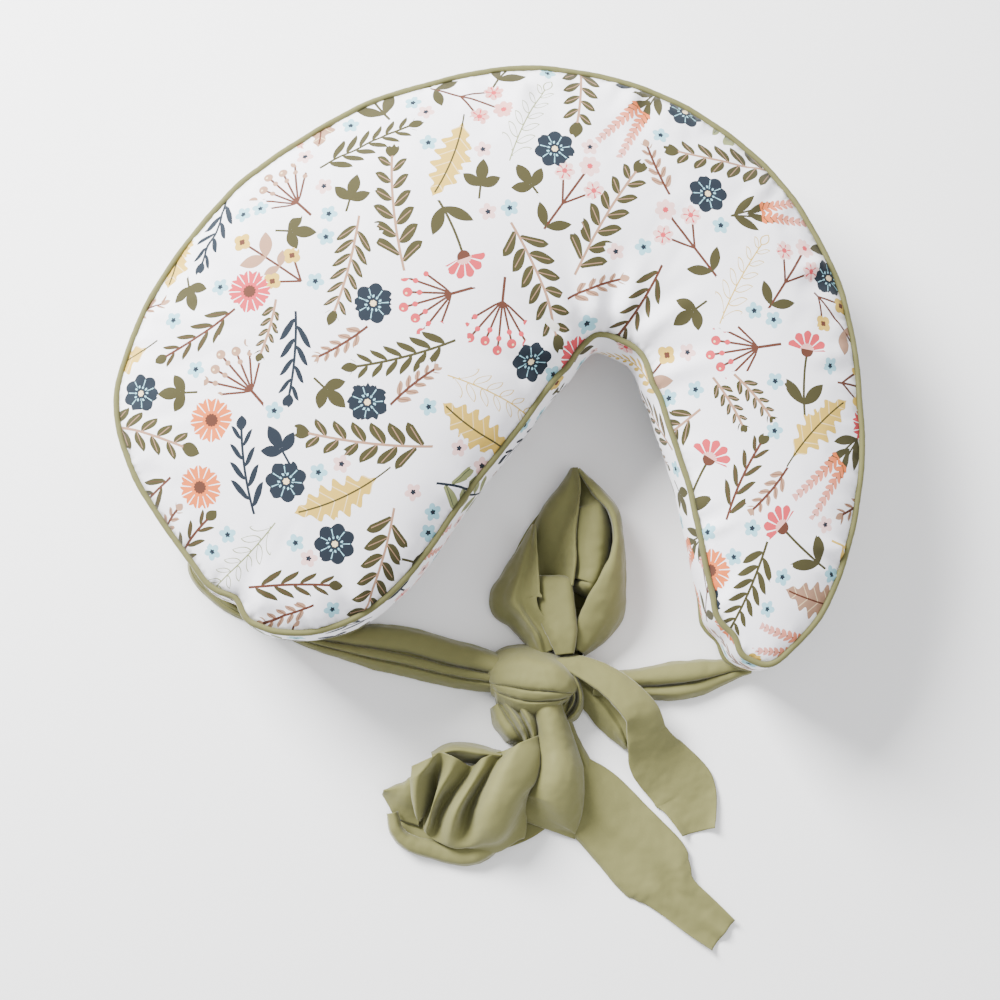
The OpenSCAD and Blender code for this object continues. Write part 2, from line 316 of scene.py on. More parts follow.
def sprig(
    maker, x, y, kind, ground, colours, half, reach, slope, pitch, half_width, stem=0.9, open_leaf=False
):
    """Leaves on both sides of a bowed stem, smaller towards its tip, and one leaf at the tip.

    The colours are the leaves' and then the twig's, two of each."""
    bowed = x - y * y * (0.0016 * 40 / half) + 1.2
    side = abs(bowed)
    foot = y - side * slope + (bowed > 0) * (pitch * 0.35)
    shrink = 1 - (y + half) / (2 * half) * 0.45
    out = side / (shrink * reach)
    across = foot.math("FLOORED_MODULO", pitch) - pitch / 2
    edge = hump(out) * shrink * half_width
    inside = (abs(across) < edge) * between(foot, -half * 0.8, half * 0.92)
    if open_leaf:
        inside = inside * (abs(across) > edge - 0.75)
    rib = (abs(across) < 0.4) * (out < 0.8)
    tip = leaf(bowed, y - half * 0.86, reach * 0.8, half_width * 0.8)
    if open_leaf:
        tip = tip - tip * leaf(bowed, y - half * 0.86 - 1, reach * 0.8 - 2, half_width * 0.8 - 0.8)
    stalk = (side < stem) * between(y, -half, half * 0.9)
    colour = maker.mix(kind > 0.5, colours[0], colours[1])
    twig = maker.mix(kind > 0.5, colours[2], colours[3])
    made = maker.mix(inside.math("MAXIMUM", tip), ground, colour)
    made = maker.mix(rib * inside * (0.0 if open_leaf else 0.7), made, twig)
    return maker.mix(stalk, made, twig)


def broad_sprig(maker, x, y, kind, ground):
    return sprig(maker, x, y, kind, ground, (SAGE, OLIVE, NAVY, TAN), 44, 18, 0.75, 13, 6.0)


def slim_sprig(maker, x, y, kind, ground):
    return sprig(maker, x, y, kind, ground, (OLIVE, OLIVE, TAN, OLIVE), 36, 15, 1.0, 10, 4.2)


def long_leaf_sprig(maker, x, y, kind, ground):
    return sprig(maker, x, y, kind, ground, (NAVY, OLIVE, NAVY, BROWN), 30, 13, 1.4, 13.5, 4.6)


def feather_sprig(maker, x, y, kind, ground):
    return sprig(maker, x, y, kind, ground, (MUSTARD, TAN, MUSTARD, BROWN), 40, 11, 0.9, 8, 3.0)


def small_sprig(maker, x, y, kind, ground):
    return sprig(maker, x, y, kind, ground, (OLIVE, TAN, TAN, BROWN), 20, 9, 0.9, 7.6, 3.3)


def outline_sprig(maker, x, y, kind, ground):
    colours = (SAGE, MUSTARD, SAGE, MUSTARD)
    return sprig(maker, x, y, kind, ground, colours, 34, 13, 0.9, 10.5, 3.9, stem=0.45, open_leaf=True)


def lobed_leaf(maker, x, y, kind, ground):
    bowed = x - y * y * 0.0035 + 1.5
    wavy = (y * (2 * math.pi / 9.5)).math("COSINE") * 0.24 + 0.76
    inside = abs(bowed) < hump((y + 27) / 60) * wavy * 14
    vein = abs((y - abs(bowed) * 0.8).math("FLOORED_MODULO", 9.5) - 4.7) < 0.4
    rib = (abs(bowed) < 0.6) * between(y, -38, 30)
    made = maker.mix(inside, ground, maker.mix(kind > 0.5, TAN, MUSTARD))
    made = maker.mix(vein * inside * 0.8, made, CREAM)
    return maker.mix(rib, made, maker.mix(kind > 0.5, BROWN, OLIVE))


def daisy(maker, x, y, kind, ground):
    out, turn = petals(maker, x, y, 15, 13, 0.16)
    slit = (abs(turn.math("SINE")) < 0.2) * (out > 0.42)
    made = maker.mix((out < 1) * (1 - slit), ground, maker.mix(kind > 0.5, ORANGE, CORAL))
    return maker.mix(out < 0.3, made, BROWN)


def round_flower(maker, x, y, kind, ground):
    out, turn = petals(maker, x, y, 14, 7, 0.2)
    slit = (abs(turn.math("SINE")) > 0.992) * between(out, 0.45, 0.9)
    seeds = ((turn * 3).math("SINE") > 0.2) * between(out, 0.3, 0.42)
    made = maker.mix(out < 1, ground, NAVY)
    made = maker.mix(slit.math("MAXIMUM", seeds), made, PALE_BLUE)
    return maker.mix(out < 0.16, made, CREAM)


def star_flower(maker, x, y, kind, ground):
    out, _ = petals(maker, x, y, 6.2, 5, 0.38)
    made = maker.mix(out < 1, ground, maker.mix(kind > 0.75, PALE_BLUE, BLUSH))
    return maker.mix(out < 0.32, made, NAVY)


def berry_fan(maker, x, y, kind, ground):
    """A stem that opens into a fan of stalks with a berry on each."""
    down = y + 16
    far = (x * x + down * down).math("SQRT")
    turn = maker.math("ARCTAN2", x, down)
    pitch = 0.31
    step = (turn / pitch + 0.5).math("FLOOR")
    aside = (turn - step * pitch) * far
    end = abs((step * 0.5).math("FRACT")) * -8 + 34
    fan = abs(turn) < pitch * 3.4
    stalk = (abs(aside) < 0.8) * fan * (far < end)
    stem = (abs(x) < 1.0) * between(y, -32, -14)
    berry = spot(aside, far - end, 3.3) * fan
    small = spot(aside, far - end + 8, 1.9) * fan
    made = maker.mix(stalk.math("MAXIMUM", stem), ground, BROWN)
    made = maker.mix(berry.math("MAXIMUM", small), made, maker.mix(kind > 0.5, CORAL, TAN))
    return maker.mix(spot(aside + 0.8, far - end - 0.8, 0.8) * fan, made, CREAM)


def dot_cluster(maker, x, y, kind, ground):
    """A round head of many small dots on a thin stem."""
    flat = maker.node("ShaderNodeCombineXYZ", X=x, Y=y).outputs[0]
    cells = maker.node("ShaderNodeTexVoronoi", Vector=flat, Scale=0.24, Randomness=0.5)
    head = spot(x * 0.85, y - 6, 15)
    dots = (Num(maker, cells.outputs["Distance"]) < 0.36) * head
    stem = (abs(x - y * 0.1) < 0.5) * between(y, -26, 4)
    made = maker.mix(stem, ground, maker.mix(kind > 0.5, BLUSH, OLIVE))
    return maker.mix(dots, made, maker.mix(kind > 0.5, BLUSH, DUSTY_PINK))


def flower_spikes(maker, x, y, kind, ground):
    """Two spikes of small upswept petals over slender leaves."""
    side = abs(x + y * 0.12)
    across, up = turned(side, y + 36, 8)
    row = (up - abs(across) * 0.9).math("FLOORED_MODULO", 5)
    thin = 1 - (up - 26) / 52 * 0.55
    ear = (abs(across) < thin * (hump(row / 5) * 3 + 2.2)) * (row > 0.7) * between(up, 24, 70)
    stem = (abs(across) < 0.7) * between(up, 0, 70)
    leaf_x, leaf_y = turned(side, y + 34, 36)
    leaves = leaf(leaf_x, leaf_y, 22, 3.2)
    low_x, low_y = turned(side, y + 24, 20)
    leaves = leaves.math("MAXIMUM", leaf(low_x, low_y, 24, 2.8))
    warm = maker.ramp((up - 26) / 46, ((0, ORANGE), (1, DUSTY_PINK)))
    cool = maker.ramp((up - 26) / 46, ((0, DUSTY_PINK), (1, BLUSH)))
    made = maker.mix(leaves, ground, OLIVE)
    made = maker.mix(stem, made, OLIVE)
    return maker.mix(ear, made, maker.mix(kind > 0.35, cool, warm))


def fan_flower(maker, x, y, kind, ground):
    """A half-open flower on a stem with two leaves."""
    bowed = x - y * y * 0.003 + 1
    lift = y - 13
    out, turn = petals(maker, bowed, lift, 15, 11, 0.2)
    head = (out < 1) * (lift > abs(bowed) * 0.15)
    slit = (abs(turn.math("SINE")) > 0.97) * (out > 0.4)
    cup = spot(bowed, lift - 0.5, 4.6) * (lift < 1.5)
    stem = (abs(bowed) < 0.9) * between(y, -34, 12)
    side = abs(bowed)
    leaf_x, leaf_y = turned(side, y + 24, 42)
    leaves = leaf(leaf_x, leaf_y, 22, 4.2)
    made = maker.mix(stem.math("MAXIMUM", leaves), ground, OLIVE)
    made = maker.mix(head * (1 - slit), made, maker.mix(kind > 0.5, CORAL, ORANGE))
    made = maker.mix((out < 0.38) * head, made, maker.mix(kind > 0.5, DUSTY_PINK, MUSTARD))
    return maker.mix(cup, made, BROWN)


def pink_posy(maker, x, y, kind, ground):
    """Ruffled flowers at the ends of forked stems."""
    side = abs(x)
    out_a, turn_a = petals(maker, side - 12, y - 12, 7.2, 7, 0.25)
    out_b, _ = petals(maker, x, y - 25, 7.6, 7, 0.25)
    out = out_a.math("MINIMUM", out_b)
    lines = ((turn_a * 1.7).math("SINE") > 0.75) * between(out_a, 0.3, 0.8)
    fork_x, fork_y = turned(side, y + 8, 33)
    stem = (abs(fork_x) < 0.8) * between(fork_y, 0, 22)
    stem = stem.math("MAXIMUM", (side < 0.9) * between(y, -34, 20))
    leaf_x, leaf_y = turned(side, y + 28, 48)
    leaves = leaf(leaf_x, leaf_y, 18, 3.6)
    made = maker.mix(stem, ground, BROWN)
    made = maker.mix(leaves, made, OLIVE)
    made = maker.mix(out < 1, made, maker.mix(kind > 0.5, DUSTY_PINK, BLUSH))
    return maker.mix((out < 0.28).math("MAXIMUM", lines), made, CORAL)


def yellow_blooms(maker, x, y, kind, ground):
    """Small yellow flowers and wide leaves on a forked twig."""
    side = abs(x)
    out, _ = petals(maker, side - 11, y + 14, 6.4, 4, 0.3)
    out_b, _ = petals(maker, x, y - 22, 6.8, 4, 0.3)
    out = out.math("MINIMUM", out_b)
    fork_x, fork_y = turned(side, y + 30, 36)
    stem = (abs(fork_x) < 0.8) * between(fork_y, 0, 20)
    stem = stem.math("MAXIMUM", (side < 0.8) * between(y, -34, 24))
    leaf_x, leaf_y = turned(side, y, 50)
    leaves = leaf(leaf_x, leaf_y, 19, 4.6)
    low_x, low_y = turned(side, y + 12, 62)
    leaves = leaves.math("MAXIMUM", leaf(low_x, low_y, 12, 3.0) * (kind > 0.5))
    made = maker.mix(stem, ground, BROWN)
    made = maker.mix(leaves, made, TAN)
    made = maker.mix(out < 1, made, MUSTARD)
    return maker.mix(out < 0.34, made, BROWN)


def three_leaves(maker, x, y, kind, ground):
    side = abs(x)
    leaf_x, leaf_y = turned(side, y + 6, 58)
    leaves = leaf(leaf_x, leaf_y, 15, 3.9)
    leaves = leaves.math("MAXIMUM", leaf(x, y + 4, 18, 4.4))
    stem = (side < 0.8) * between(y, -15, 0)
    return maker.mix(leaves.math("MAXIMUM", stem), ground, maker.mix(kind > 0.35, NAVY, OLIVE))


# Each motif: how it is drawn, half its length and half its width in millimetres, and its share of the print
MOTIFS = [
    (broad_sprig, 50, 19, 6), (slim_sprig, 42, 16, 5), (flower_spikes, 38, 17, 3),
    (feather_sprig, 44, 12, 2), (outline_sprig, 40, 14, 1), (long_leaf_sprig, 36, 15, 3),
    (lobed_leaf, 36, 14, 2), (berry_fan, 30, 19, 2), (fan_flower, 32, 16, 3), (pink_posy, 33, 20, 3),
    (yellow_blooms, 33, 18, 3), (dot_cluster, 24, 17, 1), (small_sprig, 22, 9, 6), (daisy, 16, 16, 2),
    (round_flower, 15, 15, 2), (three_leaves, 16, 14, 3), (star_flower, 7, 7, 5),
]
PRINTED = 1.2 * MM  # a millimetre of the drawing, on the cloth
SNUG = 0.76  # the part of its half width that a motif keeps clear of its neighbours
TRY_BLOCK = 250
FACE_BLOCK = 4000


class Print:
    """Motifs strewn over a flat cloth so that none meets another."""

    def __init__(self, low, high, seed):
        draw = np.random.default_rng(seed)
        self.kinds = []
        self.centres = []
        self.angles = []
        self.shades = []
        self.rounds = np.zeros((0, 2))
        self.radii = np.zeros(0)
        self.owner = np.zeros(0, int)
        order = [i for i, motif in enumerate(MOTIFS) for _ in range(motif[3])]
        large = [i for i in order if MOTIFS[i][1] > 25]
        middle = [i for i in order if 25 >= MOTIFS[i][1] > 10]
        small = [i for i in order if MOTIFS[i][1] <= 10]
        room = (high[0] - low[0]) * (high[1] - low[1]) / (0.6 * 0.5)
        for kinds, tries, gap in (
            (large, 16000, 0), (middle, 9000, 0), (large, 6000, 0), (small, 5000, 2.5),
        ):
            self.strew(draw, kinds, int(tries * room), low, high, gap * MM)

    def strew(self, draw, kinds, tries, low, high, gap):
        """Tries places in blocks, so that most of those already taken are passed over together."""
        for first in range(0, tries, TRY_BLOCK):
            centres = draw.uniform(low, high, (TRY_BLOCK, 2))
            turns = draw.uniform(0, 2 * math.pi, TRY_BLOCK)
            shades = draw.uniform(size=TRY_BLOCK)
            kind = np.array([kinds[(first + i) % len(kinds)] for i in range(TRY_BLOCK)])
            clear = np.ones(TRY_BLOCK, bool)
            if len(self.rounds):
                width = np.array([MOTIFS[k][2] for k in kind]) * PRINTED
                reach = np.maximum(0, np.array([MOTIFS[k][1] for k in kind]) * PRINTED - width)
                along = np.stack([-np.sin(turns), np.cos(turns)], axis=1) * reach[:, None]
                for end in (-1, 0, 1):
                    spots = centres + end * along
                    far = np.linalg.norm(self.rounds[None] - spots[:, None], axis=2) - self.radii[None]
                    clear &= far.min(1) >= width * SNUG + gap
            for i in np.flatnonzero(clear):
                self.drop(kind[i], centres[i], turns[i], shades[i], gap)

    def drop(self, kind, centre, angle, shade, gap):
        """Adds one motif if it is clear of the others."""
        width = MOTIFS[kind][2] * PRINTED
        reach = MOTIFS[kind][1] * PRINTED - width
        along = np.array([-math.sin(angle), math.cos(angle)])
        count = 1 if reach <= 0 else 2 + int(reach / (width * 0.9))
        rounds = centre + np.linspace(-reach, reach, count)[:, None] * along if count > 1 else centre[None]
        if len(self.rounds):
            far = np.linalg.norm(self.rounds[None] - rounds[:, None], axis=2) - self.radii[None]
            if far.min() < width * SNUG + gap:
                return
        self.kinds.append(kind)
        self.centres.append(centre)
        self.angles.append(angle)
        self.shades.append(shade)
        self.rounds = np.vstack([self.rounds, rounds])
        self.radii = np.append(self.radii, np.full(count, width * SNUG))
        self.owner = np.append(self.owner, np.full(count, len(self.kinds) - 1))

    def lay_on(self, ob, materials):
        """Gives each face the nearest motif's material, and each corner its place round that motif."""
        mesh = ob.data
        corners = np.zeros(len(mesh.loops) * 2)
        mesh.uv_layers["cloth"].uv.foreach_get("vector", corners)
        corners = corners.reshape(-1, 2)
        starts = np.zeros(len(mesh.polygons), int)
        counts = np.zeros(len(mesh.polygons), int)
        mesh.polygons.foreach_get("loop_start", starts)
        mesh.polygons.foreach_get("loop_total", counts)
        face = np.repeat(np.arange(len(starts)), counts)
        middles = np.stack([np.bincount(face, corners[:, i]) / counts for i in (0, 1)], axis=1)
        nearest = np.zeros(len(middles), int)
        for first in range(0, len(middles), FACE_BLOCK):
            some = middles[first:first + FACE_BLOCK]
            far = np.linalg.norm(some[:, None] - self.rounds[None], axis=2) - self.radii[None]
            nearest[first:first + FACE_BLOCK] = self.owner[far.argmin(1)]
        kinds = np.array(self.kinds)[nearest]
        for material in materials:
            mesh.materials.append(material)
        mesh.polygons.foreach_set("material_index", kinds.astype(np.int32))
        angle = np.array(self.angles)[nearest][face]
        offset = corners - np.array(self.centres)[nearest][face]
        local = np.stack([
            (offset[:, 0] * np.cos(angle) + offset[:, 1] * np.sin(angle)) / PRINTED,
            (offset[:, 1] * np.cos(angle) - offset[:, 0] * np.sin(angle)) / PRINTED,
            np.array(self.shades)[nearest][face],
        ], axis=1)
        place = mesh.attributes.new("motif", "FLOAT_VECTOR", "CORNER")
        place.data.foreach_set("vector", local.astype(np.float32).ravel())


def print_materials(ground):
    """One cloth material for each motif."""
    made = []
    for draw, *_ in MOTIFS:
        maker = Maker("printed_cotton_" + draw.__name__)
        x, y, kind = maker.parts(maker.attribute("motif"))
        across, along, _ = maker.parts(maker.node("ShaderNodeUVMap", {"uv_map": "cloth"}).outputs[0])
        colour = draw(maker, x, y, kind, maker.rgba(ground))
        weave = plain_weave(maker, across, along, 0.45 * MM)
        maker.bump(weave, 0.08 * MM, 0.5)
        made.append(maker.finish(colour, 0.82, Sheen_Weight=0.06, Specular_IOR_Level=0.2))
    return made


def tie_cloth(name, colour):
    """Plain olive cotton, with its own UV map for the threads."""
    maker = Maker(name)
    across, along, _ = maker.parts(maker.node("ShaderNodeUVMap", {"uv_map": "cloth"}).outputs[0])
    weave = plain_weave(maker, across, along, 0.5 * MM)
    cloudy = maker.noise(maker.place(), 9.0, 3.0)
    shade = maker.mix(cloudy, [c * 0.93 for c in colour], [min(1, c * 1.08) for c in colour])
    # painted highlight: the colour is made lighter where the weave's threads stand highest
    shade = maker.mix((weave - 1) * 0.5, shade, [min(1, c * 1.25) for c in colour])
    maker.bump(weave, 0.10 * MM, 0.6)
    return maker.finish(shade, 0.78, Sheen_Weight=0.25, Sheen_Roughness=0.4, Specular_IOR_Level=0.3)


def soft_cloth(name, colour, pitch=0.6 * MM):
    """Unprinted cloth that reads its place in the row's frame."""
    maker = Maker(name)
    across, along, up = maker.parts(maker.place())
    weave = plain_weave(maker, across + up * 0.7, along + up * 0.5, pitch)
    shade = maker.mix(maker.noise(maker.place(), 14.0), [c * 0.92 for c in colour], colour)
    maker.bump(weave, 0.12 * MM, 0.7)
    return maker.finish(shade, 0.85, Sheen_Weight=0.2)


# ---------------------------------------------------------------------------
# Outline of the pillow, in millimetres: [x and y on the outer edge, x and y on the inner edge]

BACK_CENTRE = np.array([38.0, 98.0])
BACK_R = 264.0
TOP_SEAM = 112.0
BOTTOM_SEAM = 22.0
CROWN = 38.0


def arc_station(angle, inner):
    turn = math.radians(angle)
    return [*(BACK_CENTRE + BACK_R * np.array([math.cos(turn), math.sin(turn)])), *inner]


STATIONS = np.array([
    [-165, -104, -165, -104], [-212, -76, -126, -102], [-255, -26, -92, -86], [-284, 20, -62, -57],
    [-299, 75, -35, -18], [-288, 130, -8, 20], [-258, 192, 20, 55], [-207, 257, 44, 88],
    [-140, 307, 64, 113], [-92, 333, 76, 128],
    arc_station(108, [84, 136]), arc_station(96, [90, 139]), arc_station(84, [97, 139]),
    arc_station(72, [104, 137]), arc_station(60, [111, 134]), arc_station(48, [119, 130]),
    arc_station(36, [128, 122]),
    [284, 195, 136, 106], [299, 140, 143, 85], [304, 85, 150, 62], [304, 35, 158, 38],
    [298, -12, 166, 10], [286, -55, 173, -25], [268, -92, 181, -66], [246, -117, 194, -104],
    [222, -131, 222, -131],
])


def curve_through(points, closed, steps):
    """A smooth curve through points, with steps parts from each to the next."""
    points = np.asarray(points, float)
    count = len(points)
    if closed:
        padded = np.vstack([points[-1:], points, points[:2]])
    else:
        padded = np.vstack([2 * points[0] - points[1], points, 2 * points[-1] - points[-2]])
        count -= 1
    made = []
    for i in range(count):
        a, b, c, d = padded[i:i + 4]
        for t in np.arange(steps) / steps:
            made.append(0.5 * (2 * b + (c - a) * t + (2 * a - 5 * b + 4 * c - d) * t ** 2
                               + (3 * b - a - 3 * c + d) * t ** 3))
    if not closed:
        made.append(points[-1])
    return np.array(made)


def evenly(points, step, closed):
    """The same curve with points about a step apart."""
    if closed:
        points = np.vstack([points, points[:1]])
    run = np.append(0, np.cumsum(np.linalg.norm(np.diff(points, axis=0), axis=1)))
    count = max(2, int(round(run[-1] / step)))
    at = np.linspace(0, run[-1], count + 1)
    if closed:
        at = at[:-1]
    return np.stack([np.interp(at, run, points[:, i]) for i in range(points.shape[1])], axis=1)


def ripple(run, total, waves, seed):
    """A smooth wave round a closed run, made of a few whole numbers of waves."""
    draw = np.random.default_rng(seed)
    made = np.zeros(len(run))
    for count in waves:
        made += math.sqrt(waves[0] / count) * np.sin(2 * math.pi * (count * run / total + draw.uniform()))
    return made / math.sqrt(len(waves))


# Kinks of the sewn line: x and y in mm, how far out and how far along each reaches
KINKS = [
    (-228, -68, 2.5, 12), (-206, -84, -5.5, 10), (-190, -96, 4, 10), (-175, -102, 3, 14),
    (198, -88, 5, 9), (203, -106, -4.5, 9), (211, -119, 3, 8), (62, 113, 2, 9), (143, 100, 2.5, 9),
]


class Outline:
    """The seam line, clockwise from the broad arm's tip, in metres."""

    def __init__(self, step):
        mirrored = np.vstack([STATIONS[:, :2], STATIONS[-2:0:-1, 2:]])
        self.line = evenly(curve_through(mirrored, True, 12), step, True) * MM
        ahead = np.roll(self.line, -1, axis=0) - np.roll(self.line, 1, axis=0)
        ahead /= np.linalg.norm(ahead, axis=1)[:, None]
        self.out = np.stack([-ahead[:, 1], ahead[:, 0]], axis=1)
        gaps = np.linalg.norm(self.line - np.roll(self.line, 1, axis=0), axis=1)
        self.run = np.cumsum(gaps) - gaps[0]
        self.total = gaps.sum()
        self.count = len(self.line)

    def notch(self):
        """1 on the inner edge, 0 on the outer edge, and in between round both tips."""
        far = np.linalg.norm(self.line / MM - BACK_CENTRE, axis=1)
        return np.clip((245 - far) / 70, 0, 1)

    def wander(self, size, seed, tuck=0.0):
        """How far the sewn line strays outwards and up at each point, with the inner edge tucked in."""
        out = ripple(self.run, self.total, (9, 17, 31, 52), seed) * size * 0.7
        for x, y, height, reach in KINKS:
            far = np.linalg.norm(self.line / MM - (x, y), axis=1)
            out += height * MM * np.exp(-(far / reach) ** 2)
        out -= tuck * self.notch()
        up = ripple(self.run, self.total, (7, 13, 26, 47), seed + 1) * size
        return out, up

    def nearest(self, points):
        """Each point's distance from the seam line, and the number of the line's nearest point."""
        far = np.linalg.norm(points[:, None] - self.line[None], axis=2)
        at = far.argmin(1)
        return far[np.arange(len(points)), at], at


# ---------------------------------------------------------------------------
# Meshes


def deselect():
    for other in bpy.context.selected_objects:
        other.select_set(False)


def new_mesh(name, points, faces, flat=None):
    """An object of these points and faces, with each point's place on its flat cloth as a UV map."""
    mesh = bpy.data.meshes.new(name)
    mesh.from_pydata([tuple(map(float, p)) for p in points], [], [tuple(map(int, f)) for f in faces])
    if flat is not None:
        corners = np.zeros(len(mesh.loops), int)
        mesh.loops.foreach_get("vertex_index", corners)
        layer = mesh.uv_layers.new(name="cloth")
        layer.uv.foreach_set("vector", np.asarray(flat, np.float32)[corners].ravel())
    mesh.polygons.foreach_set("use_smooth", np.ones(len(mesh.polygons), bool))
    mesh.update()
    ob = bpy.data.objects.new(name, mesh)
    bpy.context.scene.collection.objects.link(ob)
    return ob


def points_of(mesh):
    made = np.zeros(len(mesh.vertices) * 3)
    mesh.vertices.foreach_get("co", made)
    return made.reshape(-1, 3)


def normals_of(mesh):
    made = np.zeros(len(mesh.vertices) * 3)
    mesh.vertices.foreach_get("normal", made)
    return made.reshape(-1, 3)


def move_points(ob, points):
    ob.data.vertices.foreach_set("co", np.asarray(points, np.float32).ravel())
    ob.data.update()


def apply_modifier(ob, kind, **settings):
    deselect()
    ob.select_set(True)
    bpy.context.view_layer.objects.active = ob
    modifier = ob.modifiers.new(kind, kind)
    for key, value in settings.items():
        setattr(modifier, key, value)
    bpy.ops.object.modifier_apply(modifier=modifier.name)


def subdivide(ob):
    apply_modifier(ob, "SUBSURF", levels=1, render_levels=1)


def thicken(ob, thickness, offset=-1.0):
    apply_modifier(ob, "SOLIDIFY", thickness=thickness, offset=offset)


def tube(name, path, radius, sides, closed, way=(0, 0, 1.0)):
    """A tube round a path of points. No stretch of it runs along way, and its radius may vary."""
    path = np.asarray(path)
    count = len(path)
    radius = np.broadcast_to(radius, count)
    if closed:
        ahead = np.roll(path, -1, axis=0) - np.roll(path, 1, axis=0)
    else:
        ahead = np.gradient(path, axis=0)
    ahead /= np.linalg.norm(ahead, axis=1)[:, None]
    side = np.cross(ahead, way)
    side /= np.linalg.norm(side, axis=1)[:, None]
    up = np.cross(side, ahead)
    turn = 2 * math.pi * np.arange(sides) / sides
    ring = np.cos(turn)[None, :, None] * side[:, None] + np.sin(turn)[None, :, None] * up[:, None]
    points = (path[:, None] + ring * radius[:, None, None]).reshape(-1, 3)
    faces = []
    spans = count if closed else count - 1
    for i in range(spans):
        for j in range(sides):
            here = i * sides
            there = (i + 1) % count * sides
            k = (j + 1) % sides
            faces.append((there + j, there + k, here + k, here + j))
    if not closed:
        faces.append(tuple(range(sides)))
        faces.append(tuple((count - 1) * sides + j for j in reversed(range(sides))))
    run = np.append(0, np.cumsum(np.linalg.norm(np.diff(path, axis=0), axis=1)))
    cloth = np.stack([np.repeat(run, sides), np.tile(turn, count) * radius.mean()], axis=1)
    return new_mesh(name, points, faces, cloth)


# ---------------------------------------------------------------------------
# Cover

ZIP_FROM = 38.0
ZIP_TO = 108.0
ZIP_Z = (TOP_SEAM + BOTTOM_SEAM) / 2
WINDOW = 12.0
STRIP_INSET = 0.4 * MM
CREASE_SIZE = 2.2  # how much deeper than listed a crease is pressed
FILLING_FRAMES = 24
HEAP_ROUNDS = 2500
FILLING_REACH = 16 * MM  # the furthest that the filling moves the cloth from where it starts
FABRIC = 0.9 * MM

# Creases of the top panel: [x and y where it starts, x and y where it ends], height and half width, in mm
CREASES = [
    ([66, 150], [10, 196], 2.6, 9), ([88, 156], [70, 214], 2.2, 9), ([112, 156], [128, 214], 2.4, 8),
    ([132, 140], [186, 176], 2.0, 8), ([48, 118], [-26, 138], 1.8, 9), ([150, 104], [210, 118], 1.6, 8),
    ([230, 262], [196, 226], 1.6, 7), ([272, 196], [232, 178], 1.6, 7), ([290, 120], [248, 112], 1.4, 7),
    ([286, -40], [250, -34], 1.5, 6), ([190, -84], [214, -50], 1.8, 6), ([178, -30], [212, -6], 1.4, 6),
    ([-270, 150], [-226, 140], 1.3, 8), ([-236, 210], [-200, 180], 1.4, 8),
    ([-100, -84], [-112, -44], 1.5, 8), ([-180, -86], [-176, -48], 1.4, 8),
    ([30, 340], [20, 300], 1.3, 8), ([120, 336], [104, 298], 1.4, 8),
]


def panel_net(outline):
    """One panel of the cover laid flat: its points, with the seam line's first, and its upward faces."""
    spacing = 7.5 * MM
    low, high = outline.line.min(0), outline.line.max(0)
    rows = np.arange(low[1], high[1], spacing * math.sqrt(0.75))
    grid = [
        (x + (r % 2) * spacing / 2, y)
        for r, y in enumerate(rows) for x in np.arange(low[0], high[0], spacing)
    ]
    grid = np.array(grid)
    far, at = outline.nearest(grid)
    inward = ((grid - outline.line[at]) * outline.out[at]).sum(1) < 0
    grid = grid[inward & (far > 0.62 * spacing)]
    flat = np.vstack([outline.line, grid])
    ring = [(i, (i + 1) % outline.count) for i in range(outline.count)]
    made = delaunay_2d_cdt([Vector(p) for p in flat], ring, [], 1, 1e-7)
    places = np.array([tuple(p) for p in made[0]])
    faces = np.array([f for f in made[2] if len(f) == 3])
    a, b, c = (places[faces[:, i]] for i in range(3))
    area = (b[:, 0] - a[:, 0]) * (c[:, 1] - a[:, 1]) - (b[:, 1] - a[:, 1]) * (c[:, 0] - a[:, 0])
    faces[area < 0] = faces[area < 0][:, ::-1]
    return places, faces


def heap(places, faces, fixed):
    """How high sand would lie on each point if it ran off at the fixed ones, from 0 to 1."""
    pairs = np.vstack([faces[:, [0, 1]], faces[:, [1, 2]], faces[:, [2, 0]]])
    pairs = np.vstack([pairs, pairs[:, ::-1]])
    count = len(places)
    degree = np.bincount(pairs[:, 0], minlength=count)
    height = np.zeros(count)
    for _ in range(HEAP_ROUNDS):
        height = np.bincount(pairs[:, 0], height[pairs[:, 1]], minlength=count) / degree + 1
        height[:fixed] = 0
    return height / height.max()


def fill_cover(points, faces, cut, held, pressure):
    """Blows the sewn cover up: the cloth was cut as cut, and held points stay where they are."""
    ob = new_mesh("filled", points, faces)
    ob.shape_key_add(name="Basis")
    key = ob.shape_key_add(name="cut")
    key.data.foreach_set("co", np.asarray(cut, np.float32).ravel())
    key.value = 0
    group = ob.vertex_groups.new(name="held")
    group.add([int(i) for i in np.flatnonzero(held)], 1.0, "REPLACE")
    modifier = ob.modifiers.new("Cloth", "CLOTH")
    cloth = modifier.settings
    cloth.quality = 5
    cloth.mass = 0.2
    cloth.air_damping = 3
    cloth.tension_stiffness = 25
    cloth.compression_stiffness = 12
    cloth.shear_stiffness = 6
    cloth.bending_stiffness = 0.25
    cloth.tension_damping = 15
    cloth.compression_damping = 15
    cloth.use_pressure = True
    cloth.uniform_pressure_force = pressure
    cloth.vertex_group_mass = "held"
    cloth.rest_shape_key = key
    cloth.effector_weights.gravity = 0
    modifier.point_cache.frame_start = 1
    modifier.point_cache.frame_end = FILLING_FRAMES
    scene = bpy.context.scene
    for number in range(1, FILLING_FRAMES + 1):
        scene.frame_set(number)
    shaped = ob.evaluated_get(bpy.context.evaluated_depsgraph_get())
    moved = points_of(shaped.data)
    scene.frame_set(1)
    bpy.data.objects.remove(ob)
    return moved


